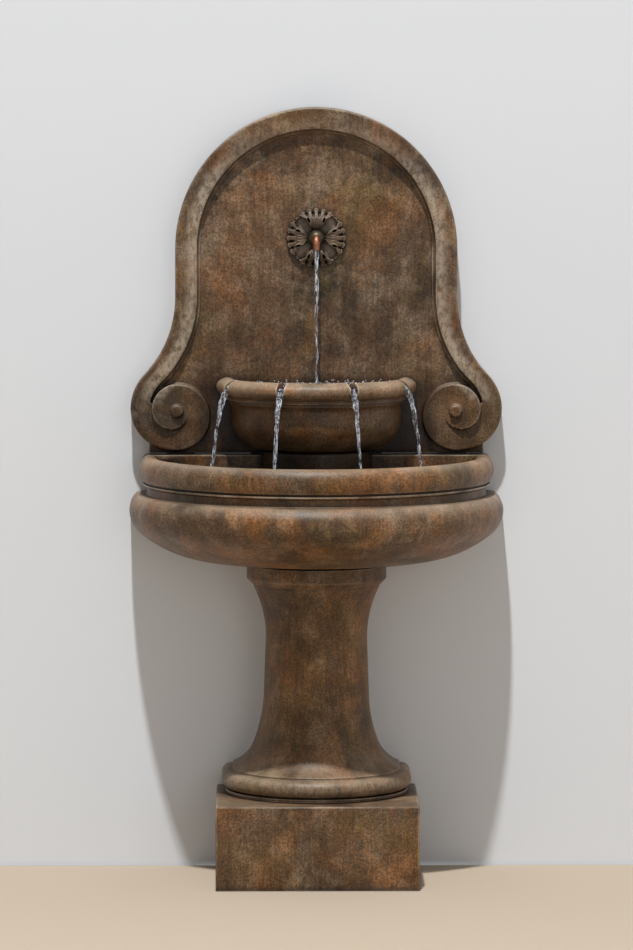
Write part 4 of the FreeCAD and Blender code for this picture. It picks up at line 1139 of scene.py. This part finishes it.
# A rope of water along a path, as thick as its points say, and twisted by a noise
def streamTree(name):
    tree, add, given = newTree(name, Ripple="Float", Twist="Float", Around="Int")
    half = add("GeometryNodeInputNamedAttribute", {"Name": "half"}, data_type="FLOAT")
    path = add("GeometryNodeMeshToCurve", links={"Mesh": given["Geometry"]})
    ring = add("GeometryNodeCurvePrimitiveCircle", {"Radius": 1.0}, {"Resolution": given["Around"]})
    rope = add("GeometryNodeCurveToMesh", {"Fill Caps": True},
            {"Curve": path, "Profile Curve": ring, "Scale": half})
    place = add("GeometryNodeInputPosition")
    drawn = add("VectorMath", {1: (1.0, 1.0, 0.22)}, {0: place}, operation="MULTIPLY")
    rate = add("Math", {0: 1.0}, {1: given["Twist"]}, operation="DIVIDE")
    strands = add("TexNoise", {"Detail": 2.0, "Distortion": 0.6}, {"Vector": drawn, "Scale": rate})
    swell = add("MapRange", {"From Min": 0.25, "From Max": 0.75, "To Min": -1.0, "To Max": 1.0},
            {"Value": strands})
    amount = add("Math", links={0: swell, 1: half}, operation="MULTIPLY")
    amount = add("Math", links={0: amount, 1: given["Ripple"]}, operation="MULTIPLY")
    normal = add("GeometryNodeInputNormal")
    offset = add("VectorMath", links={0: normal, "Scale": amount}, operation="SCALE")
    rippled = add("GeometryNodeSetPosition", links={"Geometry": rope, "Offset": offset})
    return endTree(tree, add, given, rippled)


def finishWater(obj):
    obj.data.shade_smooth()
    print(obj.name, len(obj.data.polygons), "faces")


# Grows a rope of water along a path of points, each carrying its half width in millimetres
def buildStream(name, path, tree):
    mesh = bpy.data.meshes.new(name)
    mesh.from_pydata([tuple(place) for place, _ in path], [(i, i + 1) for i in range(len(path) - 1)], [])
    layer = mesh.attributes.new("half", "FLOAT", "POINT")
    layer.data.foreach_set("value", [half * mm for _, half in path])
    obj = newObject(name, mesh)
    grown(obj, tree, Ripple=streams["ripple"], Twist=streams["twist"] * mm, Around=streams["around"],
          Finish=streamWater)
    tidyMesh(obj)
    finishWater(obj)
    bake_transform(obj)


def buildSpoutStream(tree):
    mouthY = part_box("spout_tube")[0].y + streams["spoutMouth"] * mm
    top, bottom = streams["spoutTop"], water["bowlLevel"] - water["below"]
    wide, narrow = streams["spoutHalf"]
    sway, rate = streams["spoutSway"]
    path = []
    for k in range(streams["spoutPoints"] + 1):
        t = k / streams["spoutPoints"]
        place = Vector((sway * mm * math.sin(t * rate) * t, mouthY - streams["spoutDrift"] * mm * t,
                top + (bottom - top) * t))
        path.append((place, wide + (narrow - wide) * min(1.0, t * 1.5) ** 0.6))
    buildStream("spoutStream", path, tree)


# Where an overflow leaves its notch, and which way
def notchLip(angle):
    turn = math.radians(angle)
    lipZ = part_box("upper_bowl")[1].z - (bowl["notch"][1] - streams["notchAxis"]) * mm
    axis = Vector((0, wallY - bowl["centreDepth"] * mm, lipZ))
    reach = (bowl["bulge"][0] - streams["notchEnds"][1]) * mm
    return axis, Vector((math.sin(turn), -math.cos(turn), 0)), reach


# How far out it is after a fall
def fallReach(reach, fallen):
    return reach + streams["fallSpeed"] * math.sqrt(2 * fallen / water["gravity"])


def buildFalls(tree):
    wide, narrow = streams["fallHalf"]
    count, points = streams["notchPoints"], streams["fallPoints"]
    inner = (bowl["lip"][0] - streams["notchEnds"][0]) * mm
    for number, angle in enumerate(bowl["notchAngles"]):
        axis, outward, reach = notchLip(angle)
        path = []
        for t in (k / count for k in range(count)):  # along the notch
            rise = Vector((0, 0, streams["notchRise"] * mm * (1 - t)))
            path.append((axis + outward * (inner + (reach - inner) * t) + rise, streams["notchHalf"]))
        drop = axis.z - water["basinLevel"] + water["below"]
        for k in range(points + 1):
            fallen = drop * (k / points) ** 1.4
            half = wide + (narrow - wide) * min(1.0, fallen / streams["narrowed"]) ** 0.5
            path.append((axis + outward * fallReach(reach, fallen) - Vector((0, 0, fallen)), half))
        buildStream(f"overflow{number + 1}", path, tree)


pools = {
    "upper": {"radius": 168.4, "centreDepth": 69.0, "thick": 9.0, "ripple": 1.6},
    "lower": {"radius": 331.0, "centreDepth": 72.0, "thick": 12.0, "ripple": 1.8},
    "supportHole": (119.0, 60.0),  # radius and depth of the hole round the pump house
    "wave": (2.3, 38.0),  # length and reach of a ring in millimetres
    "chop": (60.0, 0.35),  # rate per metre and share of the ripple
    "points": (120, 60),  # round and out
}


# Half-round pool with rings running out from where the streams land
def poolMesh(name, values, level, landings):
    across, rows = pools["points"]
    radius, centreY = values["radius"] * mm, wallY - values["centreDepth"] * mm
    ripple = values["ripple"] * mm
    length, fade = pools["wave"]
    rate, share = pools["chop"]
    vertices = []
    for layer in (0, 1):
        for j in range(rows + 1):
            reach = radius * math.sin(math.pi * 0.5 * j / rows)
            for i in range(across + 1):
                angle = math.pi * i / across
                x, y = reach * math.cos(angle), centreY - reach * math.sin(angle)
                z = level - layer * values["thick"] * mm
                if layer == 0:
                    for place in landings:
                        away = (Vector((x, y)) - place).length / mm
                        z += ripple * math.cos(away / length) * math.exp(-away / fade)
                    z += share * ripple * noise.noise(Vector((x * rate, y * rate, level)))
                vertices.append((x, y, z))
    width = across + 1
    size = (rows + 1) * width
    faces = [(a, a + 1, a + width + 1, a + width) for layer in (0, 1) for j in range(rows)
            for a in range(layer * size + j * width, layer * size + j * width + across)]
    edge = [rows * width + i for i in range(width)] + [j * width + across for j in reversed(range(rows))]
    edge += [j * width for j in range(1, rows + 1)]
    faces += [(a, b, size + b, size + a) for a, b in zip(edge, edge[1:])]
    obj = meshObject(name, vertices, faces)
    tidyMesh(obj)
    return obj


def buildPools():
    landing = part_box("spout_tube")[0].y + (streams["spoutMouth"] - streams["spoutDrift"]) * mm
    upper = poolMesh("bowlWater", pools["upper"], water["bowlLevel"], [Vector((0, landing))])
    setMaterial(upper, poolWater)
    finishWater(upper)
    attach(upper, "bowl")
    landings = []
    for angle in bowl["notchAngles"]:
        axis, outward, reach = notchLip(angle)
        landings.append((axis + outward * fallReach(reach, axis.z - water["basinLevel"])).to_2d())
    level = water["basinLevel"]
    lower = poolMesh("basinWater", pools["lower"], level, landings)
    cut(lower, roundBar("hole", *pools["supportHole"], level - overcut * mm, level + overcut * mm, 96))
    setMaterial(lower, poolWater)
    finishWater(lower)
    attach(lower, "fountain")


# Drops strewn over a patch of water and tossed up from it
def splashTree(name):
    tree, add, given = newTree(name, Density="Float", Drop="Float", Toss="Float", Seed="Int")
    spots = add("GeometryNodeDistributePointsOnFaces",
            links={"Mesh": given["Geometry"], "Density": given["Density"], "Seed": given["Seed"]})
    chance = add("FunctionNodeRandomValue", links={"Seed": given["Seed"]}, data_type="FLOAT")
    lift = add("Math", {1: 3.0}, {0: chance.outputs[1]}, operation="POWER")
    lift = add("Math", links={0: lift, 1: given["Toss"]}, operation="MULTIPLY")
    rise = add("CombineXYZ", links={"Z": lift})
    tossed = add("GeometryNodeSetPosition", links={"Geometry": spots, "Offset": rise})
    ball = add("GeometryNodeMeshIcoSphere", {"Subdivisions": 2}, {"Radius": given["Drop"]})
    size = add("FunctionNodeRandomValue", {2: 0.35, 3: 1.2}, {"Seed": given["Seed"]}, data_type="FLOAT")
    drops = add("GeometryNodeInstanceOnPoints", links={"Points": tossed, "Instance": ball,
            "Scale": size.outputs[1]})
    return endTree(tree, add, given, drops)


# Millimetres; density is in points per square metre
splash = {"reach": 160.0, "forward": 4.0, "above": 1.0, "around": 32, "density": 7500.0, "drop": 1.1,
        "toss": 8.0, "seed": 11}


def buildSplash():
    centreY = wallY - (pools["upper"]["centreDepth"] + splash["forward"]) * mm
    level = water["bowlLevel"] + splash["above"] * mm
    reach, around = splash["reach"] * mm, splash["around"]
    vertices = [(0.0, centreY, level)]
    for angle in (math.pi * i / around for i in range(around + 1)):
        vertices.append((reach * math.cos(angle), centreY - reach * math.sin(angle), level))
    obj = meshObject("splashDrops", vertices, [(0, i, i + 1) for i in range(1, around + 1)])
    grown(obj, splashTree("splash"), Density=splash["density"], Drop=splash["drop"] * mm,
          Toss=splash["toss"] * mm, Seed=splash["seed"], Finish=sprayWater)
    finishWater(obj)
    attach(obj, "bowl")


ropeOfWater = streamTree("ropeOfWater")
buildSpoutStream(ropeOfWater)
buildFalls(ropeOfWater)
buildPools()
buildSplash()
print("water done")
